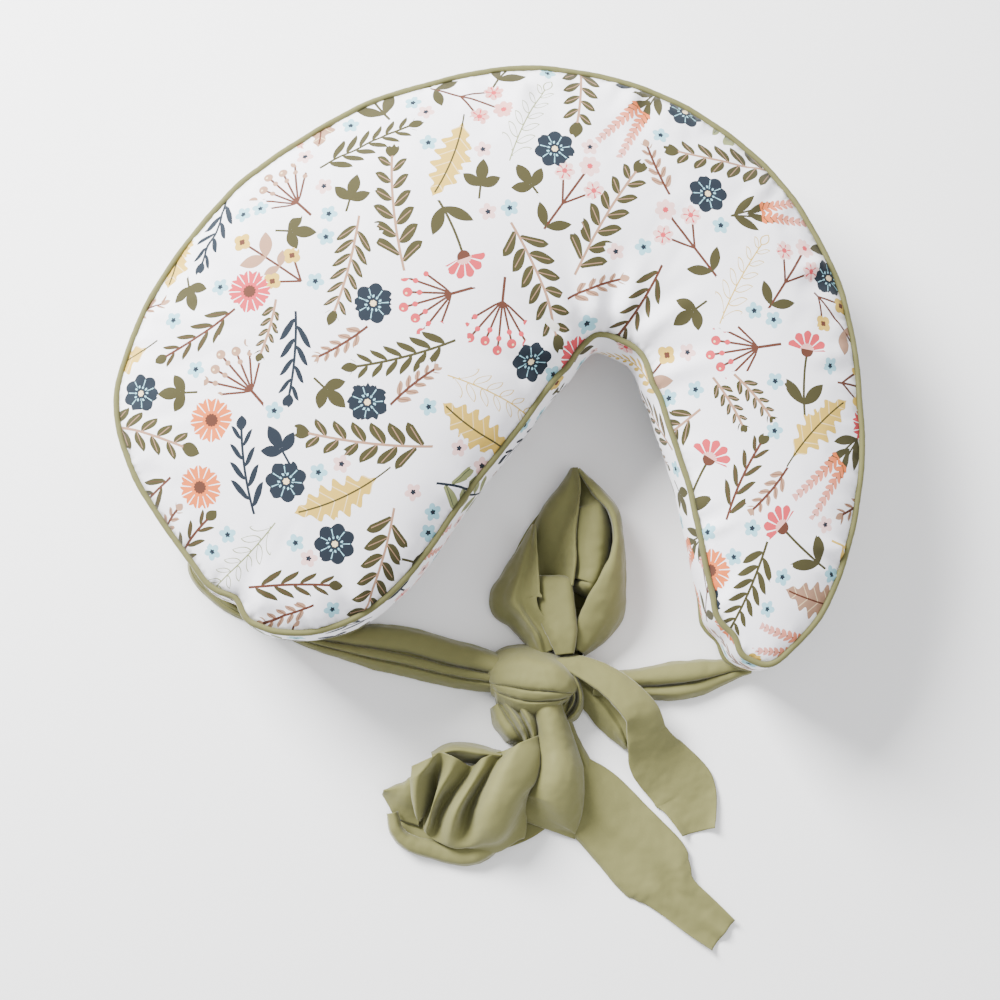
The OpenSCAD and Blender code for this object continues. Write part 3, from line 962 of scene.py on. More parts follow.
class Cover:
    """The cover's three parts as one sewn skin, filled."""

    def __init__(self, settings, piping):
        self.outline = outline = Outline(6.5)
        places, top_faces = panel_net(outline)
        count = outline.count
        pile = heap(places, top_faces, count)
        out_t, up_t = outline.wander(piping.wander, 11)
        out_b, up_b = outline.wander(piping.wander, 23, piping.tuck)
        rise = (pile ** 0.42)[:, None]
        top = np.hstack([places, TOP_SEAM * MM + CROWN * 0.93 * MM * rise])
        bottom = np.hstack([places, np.maximum(0.6 * MM, BOTTOM_SEAM * MM - 40 * MM * rise)])
        top[:count, :2] += outline.out * out_t[:, None]
        top[:count, 2] += up_t
        from_seam, at = outline.nearest(places)
        tucked = piping.tuck * outline.notch()[at] * np.exp(-from_seam / (30 * MM))
        bottom[count:, :2] -= (outline.out[at] * tucked[:, None])[count:]
        bottom[:count, :2] += outline.out * out_b[:, None]
        bottom[:count, 2] += up_b
        edge = WINDOW / 2
        middle = (ZIP_Z - edge, ZIP_Z, ZIP_Z + edge)
        rows = [*np.linspace(TOP_SEAM, middle[2], 6), middle[1], *np.linspace(middle[0], BOTTOM_SEAM, 6)]
        self.rows = np.array(rows[1:-1]) * MM
        self.band_start = len(top) + len(bottom)
        share = (self.rows - BOTTOM_SEAM * MM) / ((TOP_SEAM - BOTTOM_SEAM) * MM)
        band = [
            np.hstack([
                bottom[:count, :2] * (1 - s) + top[:count, :2] * s,
                bottom[:count, 2:] * (1 - s) + top[:count, 2:] * s,
            ]) for s in share
        ]
        angle = np.degrees(np.arctan2(*(outline.line / MM - BACK_CENTRE).T[::-1]))
        far = np.linalg.norm(outline.line / MM - BACK_CENTRE, axis=1)
        at_back = far > BACK_R - 2
        zip_zone = at_back & (angle > ZIP_FROM) & (angle < ZIP_TO)
        past_zip = np.maximum(ZIP_FROM - 1.5 - angle, angle - ZIP_TO - 5)
        near_zip = at_back & (past_zip < 0)
        clear_of_zip = np.where(at_back, np.clip(past_zip / 12, 0, 1), 1)
        for s, ring in zip(share, band):
            bulge = settings.bulge * (0.5 + 0.5 * outline.notch()) * clear_of_zip * 4 * s * (1 - s)
            ring[:, :2] += outline.out * bulge[:, None]
            ring[near_zip, :2] = outline.line[near_zip] - outline.out[near_zip] * STRIP_INSET
        points = np.vstack([top, bottom, *band])
        # Faces of the side band, from the top seam's row to the bottom seam's
        rings = [np.arange(count)]
        rings += [self.band_start + r * count + np.arange(count) for r in range(len(self.rows))]
        rings += [len(top) + np.arange(count)]
        self.rings = rings
        band_faces = []
        window_row = 5
        for r in range(len(rings) - 1):
            for i in range(count):
                k = (i + 1) % count
                if r in (window_row, window_row + 1) and zip_zone[i] and zip_zone[k]:
                    continue
                band_faces.append((rings[r][i], rings[r][k], rings[r + 1][k], rings[r + 1][i]))
        bottom_faces = top_faces[:, ::-1] + len(top)
        # The flat cloth of each part
        ease = settings.ease * np.exp(-from_seam / (24 * MM))
        flat = places + outline.out[at] * ease[:, None]
        cut_top = np.hstack([flat, np.full((len(flat), 1), TOP_SEAM * MM)])
        cut_bottom = np.hstack([flat, np.full((len(flat), 1), BOTTOM_SEAM * MM)])
        mid = ZIP_Z * MM
        cut_band = [
            np.hstack([flat[:count], np.full((count, 1), mid + (z - mid) * settings.band_ease)])
            for z in self.rows
        ]
        cut = np.vstack([cut_top, cut_bottom, *cut_band])
        held = np.zeros(len(points), bool)
        held[:count] = held[len(top):len(top) + count] = True
        held[len(top):][: len(bottom)] |= bottom[:, 2] < 3 * MM
        for r in range(len(self.rows)):
            held[self.band_start + r * count + np.flatnonzero(near_zip)] = True
        faces = [*map(tuple, top_faces), *map(tuple, bottom_faces), *band_faces]
        moved = fill_cover(points, faces, cut, held, settings.pressure)
        shift = moved - points
        size = np.linalg.norm(shift, axis=1)[:, None]
        moved = points + shift * np.minimum(1, FILLING_REACH / np.maximum(size, 1e-9))
        moved[:, 2] = np.maximum(moved[:, 2], 0)
        self.points = moved
        self.flat = flat
        self.top_faces = top_faces
        self.bottom_faces = bottom_faces
        self.band_faces = band_faces
        self.top_count = len(top)

    def panel(self, name, which):
        """The top or bottom panel as a mesh of its own."""
        first = 0 if which == "top" else self.top_count
        faces = self.top_faces if which == "top" else self.bottom_faces - self.top_count
        return new_mesh(name, self.points[first:first + self.top_count], faces, self.flat)

    def whole(self, name):
        """The whole skin, closed over the zip's window too."""
        count = self.outline.count
        strip = [(a[i], a[k], b[k], b[i]) for a, b in zip(self.rings[:-1], self.rings[1:])
                 for i, k in ((i, (i + 1) % count) for i in range(count))]
        faces = [*map(tuple, self.top_faces), *map(tuple, self.bottom_faces), *strip]
        return new_mesh(name, self.points, faces)

    def band(self, name):
        """The side band, with a seam at the slim arm's tip where its cloth starts and ends."""
        count = self.outline.count
        points = np.vstack([self.points[ring] for ring in self.rings])
        row_at = {int(v): r * count + i for r, ring in enumerate(self.rings) for i, v in enumerate(ring)}
        faces = [tuple(row_at[int(v)] for v in face) for face in self.band_faces]
        heights = np.array([TOP_SEAM * MM, *self.rows, BOTTOM_SEAM * MM])
        flat = np.stack([np.tile(self.outline.run, len(heights)), np.repeat(heights, count)], axis=1)
        ob = new_mesh(name, points, faces, flat)
        layer = ob.data.uv_layers["cloth"].uv
        for face in ob.data.polygons:
            places = [layer[i].vector.x for i in face.loop_indices]
            if max(places) - min(places) > self.outline.total / 2:
                for i in face.loop_indices:
                    if layer[i].vector.x < self.outline.total / 2:
                        layer[i].vector.x += self.outline.total
        return ob


shared = {}


def cover():
    """The filled cover, made once and shared by the pieces that follow its shape."""
    if "cover" not in shared:
        scene = bpy.context.scene
        shared["cover"] = Cover(scene.pillow_cover, scene.pillow_piping)
    return shared["cover"]


def crease_heights(places, creases):
    """Height of the creases at each place: a ridge that fades to both ends, with a trough beside it."""
    heights = np.zeros(len(places))
    for start, end, height, width in creases:
        a, b = np.array(start) * MM, np.array(end) * MM
        way = (b - a) / np.linalg.norm(b - a)
        along = ((places - a) * way).sum(1) / np.linalg.norm(b - a)
        aside = ((places - a) * [-way[1], way[0]]).sum(1) / (width * MM)
        fade = np.clip(1 - along, 0, 1) ** 1.5 * np.clip((along + 0.25) / 0.25, 0, 1)
        ridge = np.exp(-aside ** 2) - 0.7 * np.exp(-(aside - 1.7) ** 2)
        heights += CREASE_SIZE * height * MM * fade * ridge
    return heights


def pucker_panel(ob, outline, size, creases, seed):
    """Adds the small gathers along the seam and the creases."""
    points, normals = points_of(ob.data), normals_of(ob.data)
    far, at = outline.nearest(points[:, :2])
    wave = ripple(outline.run, outline.total, (97, 131, 173, 61), seed)[at]
    burst = np.clip(ripple(outline.run, outline.total, (11, 19, 29), seed + 5), 0, 1.5)[at]
    fade = np.exp(-far / (13 * MM)) * np.clip(far / (3 * MM), 0, 1)
    lift = size * wave * fade * (0.35 + burst)
    lift += crease_heights(points[:, :2], creases) * np.clip(far / (6 * MM), 0, 1)
    move_points(ob, points + normals * lift[:, None])


class PILLOW_OT_cover(bpy.types.Operator):
    """Makes the printed cover: both panels and the side band"""

    bl_idname = "pillow.cover"
    bl_label = "Cover"

    def execute(self, context):
        settings = context.scene.pillow_cover
        shape = cover()
        materials = print_materials(settings.ground)
        low, high = shape.flat.min(0) - 20 * MM, shape.flat.max(0) + 20 * MM
        for which, seed in (("top", 5), ("bottom", 8)):
            ob = shape.panel(f"cover_{which}", which)
            subdivide(ob)
            creases = CREASES if which == "top" else []
            pucker_panel(ob, shape.outline, settings.pucker, creases, seed * 3)
            Print(low, high, seed).lay_on(ob, materials)
            thicken(ob, FABRIC)
            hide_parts(f"cover_{which}_panel")
            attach(ob, "pillow")
        band = shape.band("cover_side_band_cloth")
        subdivide(band)
        corner = np.array([shape.outline.total + 30 * MM, 134 * MM])
        Print(np.array([-30 * MM, 0]), corner, 12).lay_on(band, materials)
        thicken(band, FABRIC)
        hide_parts("cover_side_band", "zip_strip_upper", "zip_strip_lower")
        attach(band, "pillow")
        return {"FINISHED"}


class PILLOW_OT_piping(bpy.types.Operator):
    """Makes the piping round both seams, each with its cord"""

    bl_idname = "pillow.piping"
    bl_label = "Piping"

    def execute(self, context):
        settings = context.scene.pillow_piping
        outline = Outline(2.6)
        # painted shade: the piping's copy of the tie cloth is a fifth darker than the tie
        bias = tie_cloth("olive_bias_cotton", [0.8 * c for c in context.scene.pillow_tie.colour])
        cord = soft_cloth("piping_cord_cotton", (0.8, 0.77, 0.68), 1.2 * MM)
        for place, z, seed, tuck in (
            ("top", TOP_SEAM, 11, 0), ("bottom", BOTTOM_SEAM, 23, settings.tuck),
        ):
            out, up = outline.wander(settings.wander, seed, tuck)
            off = 0.3 * settings.diameter
            path = np.hstack([
                outline.line + outline.out * (out + off)[:, None], (z * MM + up)[:, None]
            ])
            swell = 1 + 0.035 * ripple(outline.run, outline.total, (160, 231, 307), seed + 2)
            skin = tube(f"{place}_piping", path, settings.diameter / 2 * swell, 14, True)
            skin.data.materials.append(bias)
            core = tube(f"{place}_piping_core", path, settings.cord_diameter / 2, 8, True)
            core.data.materials.append(cord)
            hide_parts(f"{place}_piping_cover")
            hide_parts(f"{place}_piping_cord")
            for ob in (skin, core):
                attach(ob, "pillow")
        return {"FINISHED"}


# ---------------------------------------------------------------------------
# Waist tie. A run of cloth has rings, [x, y, full width, height, height of its underside] in mm, and
# folds that run along it: how far across each lies, from -1 on the left to 1 on the right, how far up
# the ring it lies, as a share of its height, and how many mm ahead of it. Each is one number, or
# numbers at even steps along the run.

LOWEST = 0.4  # how low the middle of the cloth lies on the floor, in mm
FLAT_UNDER = [(0.95, 0.04), (0.4, 0), (-0.4, 0), (-0.95, 0.04)]
STRAP_LEFT = [(
    [[-248, -36, 12, 6, 12], [-246, -49, 16, 8, 5], [-235, -62, 18, 9, 1], [-211, -78, 20, 9, 0.6],
     [-183, -89, 19, 9, 0.6], [-150, -104, 20, 10, 0.6], [-118, -110, 29, 13, 0.6], [-95, -113, 38, 16, 0.6],
     [-65, -118, 42, 18, 0.6], [-35, -126, 40, 21, 0.6], [-8, -132, 38, 25, 1], [18, -138, 30, 26, 6]],
    [(-1, 0.1), (-0.75, [0.7, 0.75, 0.8, 0.8]), (-0.35, [0.9, 1, 1, 1]), (-0.05, [0.8, 0.9, 0.9, 0.95]),
     (0.1, [0.7, 0.5, 0.5, 0.6]), (0.22, [0.9, 0.8, 0.75, 0.8]), (0.45, [0.9, 0.8, 0.8, 0.7]),
     (0.56, [0.8, 0.5, 0.5, 0.5]), (0.68, [0.8, 0.65, 0.65, 0.6]), (0.86, [0.5, 0.5, 0.45, 0.4]),
     (1, 0.1), *FLAT_UNDER],
)]
STRAP_RIGHT = [(
    [[92, -146, 24, 22, 8], [112, -146, 24, 20, 3], [136, -145, 26, 18, 1], [160, -143, 32, 17, 1],
     [182, -140, 31, 15, 1], [200, -136, 24, 12, 1], [216, -133, 16, 9, 4], [229, -133, 6, 7, 12]],
    [(-1, 0.1), (-0.8, 0.7), (-0.35, 1), (0.05, [0.9, 0.85, 0.95, 0.9]), (0.18, [0.8, 0.3, 0.45, 0.7]),
     (0.34, [0.85, 0.62, 0.7, 0.8]), (0.74, 0.66), (1, 0.1), *FLAT_UNDER],
)]
HIDDEN_RUN = [(
    [[62, -176, 24, 6, 6], [66, -194, 30, 7, 0.4], [72, -212, 36, 7, 0.4], [80, -230, 36, 6, 0.4]],
    [(-1, 0), (-0.7, 1), (-0.4, 0.2), (-0.1, 0.9), (0.2, 0.2), (0.5, 1), (0.8, 0.2), (1, 0), *FLAT_UNDER],
)]
LOOP_UPPER = [
    # The cloth that lies under the loop
    ([[64, -120, 30, 6, 1], [68, -104, 60, 3, 0.5], [66, -88, 88, 3, 0.5], [65, -74, 104, 3, 0.5],
      [72, -38, 90, 3, 0.5], [81, 2, 60, 3, 0.5], [80, 36, 6, 8, 2]],
     [(-1, 1), (-0.5, 0.3), (0.5, 0.3), (1, 1)]),
    # Left wall, with its hem on top
    ([[50, -120, 17, 14, 12], [44, -104, 24, 28, 5], [33, -88, 28, 34, 2], [26, -75, 43, 37, 1],
      [29, -58, 34, 36, 2], [34, -40, 22, 32, 4], [38, -24, 11, 28, 7], [42, -10, 3, 14, 15]],
     [(-1, 0), (-0.85, 0.3), (-0.45, [0.7, 0.62, 0.6, 0.6]), (-0.1, [0.95, 1, 0.8, 0.8]),
      (0.3, [0.8, 0.8, 0.82, 0.85]), (0.8, [0.9, 0.98, 1, 1]), (1, [0.9, 1.04, 1.04, 1]),
      (0.97, [0.7, 0.9, 0.9, 0.8])]),
    # Front panel, from the knot to the edge of the pocket
    ([[68, -121, 16, 10, 24], [66, -104, 26, 17, 22], [62, -88, 32, 17, 22], [60, -71, 31, 15, 23],
      [59, -59, 30, 12, 23], [59, -54, 29, 8, 18], [59, -53, 28, 4, 8]],
     [(-1, 0.5), (-0.5, 0.9), (0.1, 1), (0.7, 1), (0.95, 0.6), (1, -0.7)]),
    # Panel from the pocket up to the loop's far end
    ([[59, -62, 30, 30, 4], [60, -44, 33, 33, 3], [59, -28, 35, 33, 2], [60, -12, 34, 32, 2],
      [66, 6, 28, 30, 2], [73, 22, 18, 28, 2], [77, 40, 5, 22, 4]],
     [(-1, [0.5, 0.1, 0, 0.2]), (-0.8, [0.2, 0.35, 0.45, 0.5]), (-0.3, [0.2, 0.5, 0.72, 0.8]),
      (0.3, [0.35, 0.66, 0.82, 0.9]), (0.75, [0.85, 0.92, 0.95, 1]), (1, 1.05), (1.06, 0.7), (1.02, 0.3)]),
    # Hump inside the loop
    ([[88, -57, 24, 24, 4], [88, -60, 29, 32, 5], [91, -48, 33, 33, 6], [92, -30, 36, 34, 6],
      [93, -12, 35, 34, 6], [93, 4, 30, 30, 7], [91, 12, 26, 20, 7], [88, 24, 16, 14, 7],
      [80, 38, 5, 12, 10]],
     [(-1, 0.3), (-0.75, 0.75), (-0.2, 1), (0.35, 0.98), (0.75, 0.6), (1, 0.1)]),
    # Right wall, which leans in over the hole
    ([[82, -119, 9, 20, 5], [92, -101, 30, 31, 2], [104, -80, 36, 40, 1], [110, -60, 27, 44, 1],
      [114, -40, 17, 44, 1], [115, -20, 11, 42, 1], [111, 2, 12, 38, 2], [98, 19, 12, 32, 3],
      [81, 39, 4, 22, 5]],
     [(-0.8, 0.45), (-1, 0.75), (-1.02, 0.97), (-0.85, 1.03), (-0.35, 1), (0.3, 0.82), (0.8, 0.4), (1, 0)]),
]
LOOP_LOWER = [
    # The cloth that lies under the loop
    ([[52, -184, 20, 10, 1], [50, -212, 52, 4, 0.5], [36, -238, 66, 3, 0.5], [8, -250, 72, 3, 0.5],
      [-24, -252, 72, 3, 0.5], [-54, -252, 60, 3, 0.5], [-74, -250, 40, 5, 0.5]],
     [(-1, 1), (-0.5, 0.3), (0.5, 0.3), (1, 1)]),
    # Rim band along the lower edge
    ([[24, -256, 12, 16, 1], [12, -270, 20, 16, 1], [-2, -284, 22, 14, 1], [-18, -289, 20, 10, 1],
      [-40, -286, 16, 9, 1], [-62, -280, 14, 12, 1], [-74, -270, 12, 15, 1], [-78, -254, 10, 16, 1]],
     [(-1, 0), (-0.7, 0.8), (0, 1), (0.6, 0.9), (1, 0.5)]),
    # Right panel
    ([[53, -162, 24, 14, 22], [57, -176, 26, 24, 14], [61, -196, 34, 34, 4], [64, -222, 44, 40, 1],
      [60, -246, 52, 32, 1], [53, -259, 60, 15, 1], [50, -267, 58, 4, 1]],
     [(-1, 0), (-0.85, 0.45), (-0.45, 0.85), (0.1, 1), (0.55, 0.9), (0.9, 0.6), (1.02, 0.1)]),
    # Back wall of the mouth
    ([[-44, -208, 10, 20, 12], [-26, -203, 16, 26, 9], [-6, -205, 16, 28, 7], [14, -207, 10, 24, 8]],
     [(-1, 0.1), (-0.6, 0.8), (-0.1, 1), (0.5, 0.5), (1, 0.1)]),
    # Corner at the far left
    ([[-54, -244, 44, 24, 2], [-68, -243, 36, 20, 1.5], [-77, -240, 20, 14, 1], [-86, -237, 4, 8, 1]],
     [(-1, 0.1), (-0.3, 0.5), (0.3, 0.9), (0.8, 1), (1, 0.4)]),
    # Folds that run down from the mouth to the rim, from the middle crease out to the hem on the left
    ([[-8, -203, 104, 46, 1], [-9, -221, 105, 46, 1], [-12, -245, 98, 46, 1], [-13, -264, 86, 40, 1],
      [-14, -268, 80, 12, 1]],
     [([-1.02, -1.03, -1.05, -1.1, -1.1], [0.2, 0.2, 0.2, 0.1, 0.1], [-16, -13, -17, -18, -16]),
      ([-0.98, -1, -1, -1.05, -1.05], [0.6, 0.72, 0.62, 0.4, 0.3], [-16, -13, -17, -18, -16]),
      ([-0.72, -0.6, -0.6, -0.7, -0.7], [0.85, 1, 0.95, 0.7, 0.3], [-10, -6, 2, 6, 6]),
      ([-0.6, -0.35, -0.25, -0.25, -0.25], [0.8, 0.95, 0.9, 0.6, 0.3], [-6, 0, 8, 14, 13]),
      ([-0.44, -0.2, 0.04, 0.1, 0.1], [0.6, 0.5, 0.3, 0.45, 0.3], [-2, 2, 9, 18, 17]),
      ([-0.15, 0.02, 0.25, 0.4, 0.4], [0.75, 0.8, 0.78, 0.4, 0.3], [4, 7, 11, 18, 17]),
      ([0.04, 0.3, 0.52, 0.7, 0.7], [0.45, 0.35, 0.18, 0.2, 0.3], [12, 15, 14, 14, 12]),
      ([0.3, 0.46, 0.66, 0.85, 0.85], [0.8, 0.8, 0.6, 0.3, 0.3], [6, 8, 10, 8, 6]),
      ([0.56, 0.6, 0.6, 0.9, 0.9], [0.75, 0.4, 0.15, 0.3, 0.3], [2, 2, -2, -2, -4]),
      ([0.7, 0.85, 0.9, 0.95, 0.95], [0.85, 0.85, 0.7, 0.4, 0.3], [6, 5, 0, -2, -4]),
      ([1, 1, 1, 0.98, 0.98], [0.7, 0.72, 0.6, 0.4, 0.3], [14, 10, 1, 0, -2]),
      ([0.97, 0.97, 0.96, 0.95, 0.95], [0.5, 0.5, 0.4, 0.3, 0.3], [14, 10, 1, 0, -2])]),
]
KNOT = [
    # Under the wrap, bulging out at the lower left
    ([[14, -160, 22, 20, 3], [22, -171, 34, 30, 1], [29, -182, 33, 32, 1], [34, -192, 26, 26, 1],
      [34, -203, 9, 16, 3]],
     [(-1, 0.6), (-0.6, 1), (-0.35, 0.7), (-0.1, 1), (0.15, 0.65), (0.4, 0.85), (0.75, 0.7), (1, 0)]),
    # Twisted piece on the right
    ([[68, -132, 12, 12, 20], [73, -144, 17, 26, 8], [77, -157, 18, 28, 3], [73, -168, 20, 22, 1],
      [66, -175, 12, 10, 2]],
     [(-1, 0), (-0.7, 0.7), (-0.4, 1), (-0.1, 0.5), (0.15, 0.95), (0.4, 0.55), (0.7, 0.9), (1, 0.2)]),
    # Foot of the knot between the loops
    ([[20, -128, 40, 18, 0.6], [44, -150, 84, 26, 0.6], [58, -166, 60, 22, 0.6], [66, -176, 20, 14, 2]],
     [(-1, 0), (-0.6, 0.8), (0, 1), (0.6, 0.8), (1, 0)]),
    # The wrap over it all
    ([[4, -142, 26, 14, 8], [10, -141, 44, 30, 3], [22, -141, 58, 41, 1], [38, -143, 64, 47, 0.6],
      [54, -145, 58, 49, 0.6], [66, -148, 44, 45, 1], [74, -151, 24, 34, 3], [77, -153, 8, 16, 10]],
     [(-1, 0), (-0.85, 0.42), (-0.5, 0.9), (-0.1, 1), (0.18, 0.98), (0.27, 0.87), (0.33, 0.93), (0.48, 0.87),
      (0.56, 0.75), (0.62, 0.8), (0.82, 0.6), (0.97, 0.25), (1, 0)]),
]
TAIL_RIGHT = [
    # The side that lies face down, turned under at the arch
    ([[70, -132, 8, 16, 16], [84, -146, 24, 28, 9], [99, -160, 30, 32, 5], [111, -175, 30, 30, 3],
      [119, -190, 18, 24, 3], [123, -200, 6, 12, 3]],
     [(-1, 1), (-0.7, 0.8), (-0.2, 0.4), (0.2, 0.45), (0.6, 0.25), (1, 0)]),
    ([[60, -128, 8, 8, 27], [80, -131, 18, 9, 28], [108, -146, 25, 9, 31], [131, -169, 30, 10, 29],
      [138, -189, 36, 8, 19], [146, -206, 49, 6, 8], [157, -219, 53, 4, 3], [169, -232, 55, 4, 1],
      [174, -240, 52, 4, 0.6], [178, -251, 44, 5, 0.6], [183, -271, 28, 7, 0.6]],
     [(-1, [0, 0.2, 0.3, 0.9]), (-0.6, [0.6, 0.6, 0.8, 0.2]), (0, [0.9, 0.9, 0.9, 0]),
      (0.55, [1, 1, 0.6, 0.15]), (0.96, [1, 1, 0.3, 0.9]), (1, [0.6, 0.6, 0.2, 1])]),
]
TAIL_LONG = [(
    [[60, -216, 38, 5, 0.6], [75, -229, 51, 9, 0.6], [92, -245, 61, 10, 0.6], [118, -273, 64, 8, 0.6],
     [144, -301, 66, 8, 0.6], [153, -312, 55, 8, 0.6], [163, -324, 41, 7, 0.6], [183, -341, 37, 6, 0.6],
     [203, -357, 32, 7, 0.6]],
    [(-1, [0.1, 0.2, 0.6, 0.8]), (-0.6, [0.9, 0.5, 1, 0.3]), (-0.1, [0.4, 1, 0.4, 0.7]),
     (0.4, [1, 0.5, 0.8, 0.1]), (0.85, [0.4, 0.6, 0.4, 0.4]), (1, [0, 0.1, 0.1, 0.9])],
)]


def by_place(points, count):
    """A smooth curve through a few stations, at count even steps from the first to the last."""
    curve = curve_through(points, False, 12)
    at = np.linspace(0, len(curve) - 1, count)
    steps = np.arange(len(curve))
    return np.stack([np.interp(at, steps, curve[:, i]) for i in range(curve.shape[1])], axis=1)


def lay_cloth(rings, folds):
    """Points, faces and flat places of one layer of a run."""
    rows = 14 * len(rings)
    rings = by_place(rings, rows)
    ahead = np.gradient(rings[:, :2], axis=0)
    ahead /= np.linalg.norm(ahead, axis=1)[:, None]
    side = np.stack([ahead[:, 1], -ahead[:, 0]], axis=1)
    lines = np.array([
        np.stack([
            by_place(np.array(part)[:, None], rows)[:, 0] if isinstance(part, list) else np.full(rows, part)
            for part in (*fold, 0)[:3]
        ], axis=1) for fold in folds
    ])
    columns = 7 * len(folds)
    points = np.zeros((rows, columns, 3))
    for i, ring in enumerate(rings):
        section = by_place(lines[:, i] * [ring[2] / 2, ring[3], 1], columns)
        points[i, :, :2] = ring[:2] + side[i] * section[:, :1] + ahead[i] * section[:, 2:]
        points[i, :, 2] = ring[4] + section[:, 1]
    points[:, :, 2] = np.maximum(points[:, :, 2], LOWEST)
    aside = np.linalg.norm(np.diff(points, axis=1, prepend=points[:, :1]), axis=2).cumsum(1)
    along = np.linalg.norm(np.diff(points, axis=0, prepend=points[:1]), axis=2).cumsum(0)
    flat = np.stack([aside, np.broadcast_to(along.mean(1)[:, None], aside.shape)], axis=2)
    first = np.arange(rows * columns).reshape(rows, columns)
    faces = np.stack([first[:-1, :-1], first[:-1, 1:], first[1:, 1:], first[1:, :-1]], axis=2).reshape(-1, 4)
    return points.reshape(-1, 3) * MM, faces, flat.reshape(-1, 2) * MM


def crumple(points, size, wave):
    """Small uneven dents, as cloth keeps from being handled."""
    places = [Vector(p) / wave for p in points]
    return np.array([noise.noise(p) + 0.5 * noise.noise(p * 2.3) for p in places]) * size


def tie_piece(name, layers, node, length, material, thickness):
    """All layers of one run of the tie, as one piece of cloth. Its flat length, in mm, is not used."""
    points = []
    faces = []
    flat = []
    count = 0
    for rings, folds in layers:
        places, quads, cloth = lay_cloth(rings, folds)
        points.append(places)
        faces.append(quads + count)
        flat.append(cloth)
        count += len(places)
    ob = new_mesh(name, np.vstack(points), np.vstack(faces), np.vstack(flat))
    places = points_of(ob.data)
    moved = places + normals_of(ob.data) * crumple(places, 0.7 * MM, 14 * MM)[:, None]
    moved[:, 2] = np.maximum(moved[:, 2], LOWEST * MM)
    move_points(ob, moved)
    thicken(ob, thickness, 0)
    ob.data.materials.append(material)
    length * MM
    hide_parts(node)
    return ob


# Still pieces: name, layers, node and flat length in mm
STILL_RUNS = (
    ("strap_left", STRAP_LEFT, "tie_strap_left", 400),
    ("strap_right", STRAP_RIGHT, "tie_strap_right", 180),
    ("strap_hidden_run", HIDDEN_RUN, "tie_strap_hidden_run", 56),
    ("knot_wrap", KNOT, "tie_knot", 360),
)
# Pieces of the bow and tails: the same, then the body, and where the cloth's bend starts and ends, in mm
LIFTED_RUNS = (
    ("upper_bow_loop", LOOP_UPPER, "bow_loop_upper", 640, "upper_loop", (54, -122, 19), (54, -98, 19)),
    ("lower_bow_loop", LOOP_LOWER, "bow_loop_lower", 660, "lower_loop", (50, -182, 14), (42, -206, 14)),
    ("right_tail_cloth", TAIL_RIGHT, "tie_tail_right", 200, "right_tail", (95, -138, 26), (116, -162, 26)),
    ("long_tail_cloth", TAIL_LONG, "tie_tail_long", 200, "long_tail", (94, -232, 2), (114, -254, 2)),
)


class PILLOW_OT_tie(bpy.types.Operator):
    """Makes the waist tie: two straps, the knot, both loops of the bow and both tails"""

    bl_idname = "pillow.tie"
    bl_label = "Waist tie"

    def execute(self, context):
        settings = context.scene.pillow_tie
        cloth = tie_cloth("tie_cotton", settings.colour)
        for run in STILL_RUNS:
            ob = tie_piece(*run, cloth, settings.thickness)
            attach(ob, "pillow")
        for *run, body, start, end in LIFTED_RUNS:
            ob = tie_piece(*run, cloth, settings.thickness)
            [c * MM for c in start]
            [c * MM for c in end]
            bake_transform(ob)
        return {"FINISHED"}


class PILLOW_OT_inner_pillow(bpy.types.Operator):
    """Makes the liner and the fibre filling inside it"""

    bl_idname = "pillow.inner_pillow"
    bl_label = "Inner pillow"

    def execute(self, context):
        shape = cover()
        plain = soft_cloth("liner_cotton", (0.82, 0.80, 0.74))
        fibre = fibre_fill("polyester_fibre", (0.9, 0.9, 0.9))
        panels = ("liner_top_panel", "liner_bottom_panel", "liner_side_band")
        # How far inside the cover each lies, sideways and up or down, and how lumpy it is, in mm
        for name, gap, drop, lumps, material, slot, nodes in (
            ("liner", 6.2, 2.4, 0, plain, "liner_cotton", panels),
            ("filling", 7.6, 3.7, 0.9, fibre, "polyester_fibre", ("fibre_filling",)),
        ):
            ob = shape.whole(name)
            inward = normals_of(ob.data) * [gap * MM, gap * MM, drop * MM]
            places = points_of(ob.data)
            lift = crumple(places, lumps * MM, 22 * MM) if lumps else np.zeros(len(places))
            move_points(ob, places - inward - normals_of(ob.data) * np.abs(lift)[:, None])
            subdivide(ob)
            ob.data.materials.append(material)
            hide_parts(*nodes)
            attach(ob, "pillow")
        return {"FINISHED"}


def fibre_fill(name, colour):
    """Loose white fibres that run every way."""
    maker = Maker(name)
    swirl = maker.node("ShaderNodeTexNoise", Vector=maker.place(), Scale=26.0, Detail=2.0).outputs["Color"]
    bent = maker.node(
        "ShaderNodeVectorMath", {"operation": "MULTIPLY_ADD"}, i0=swirl, i1=(0.05, 0.05, 0.05),
        i2=maker.place()
    ).outputs[0]
    strands = maker.noise(maker.stretched(bent, (420, 90, 420)), 1.0, 3.0)
    maker.bump(strands, 0.5 * MM, 0.7)
    # painted shade: the colour is darker where the strands' height is low, between the fibres
    shade = maker.mix(strands, [c * 0.85 for c in colour], colour)
    return maker.finish(shade, 0.95, Sheen_Weight=0.3)


# ---------------------------------------------------------------------------
# Zip

COIL_R = 263.3
CHAIN_FROM = 39.9
CHAIN_TO = 106.1
COIL_PITCH = 1.5
STITCH = 3.2
TWILL_TURN = 2.4 * MM  # height of the rows after which the tape's threads turn back


def on_back(angle, r, z):
    """Points round the back edge's arc, in metres."""
    turn = np.radians(angle)
    return np.stack([BACK_CENTRE[0] + r * np.cos(turn), BACK_CENTRE[1] + r * np.sin(turn),
                     np.broadcast_to(z, np.shape(turn))], axis=-1) * MM


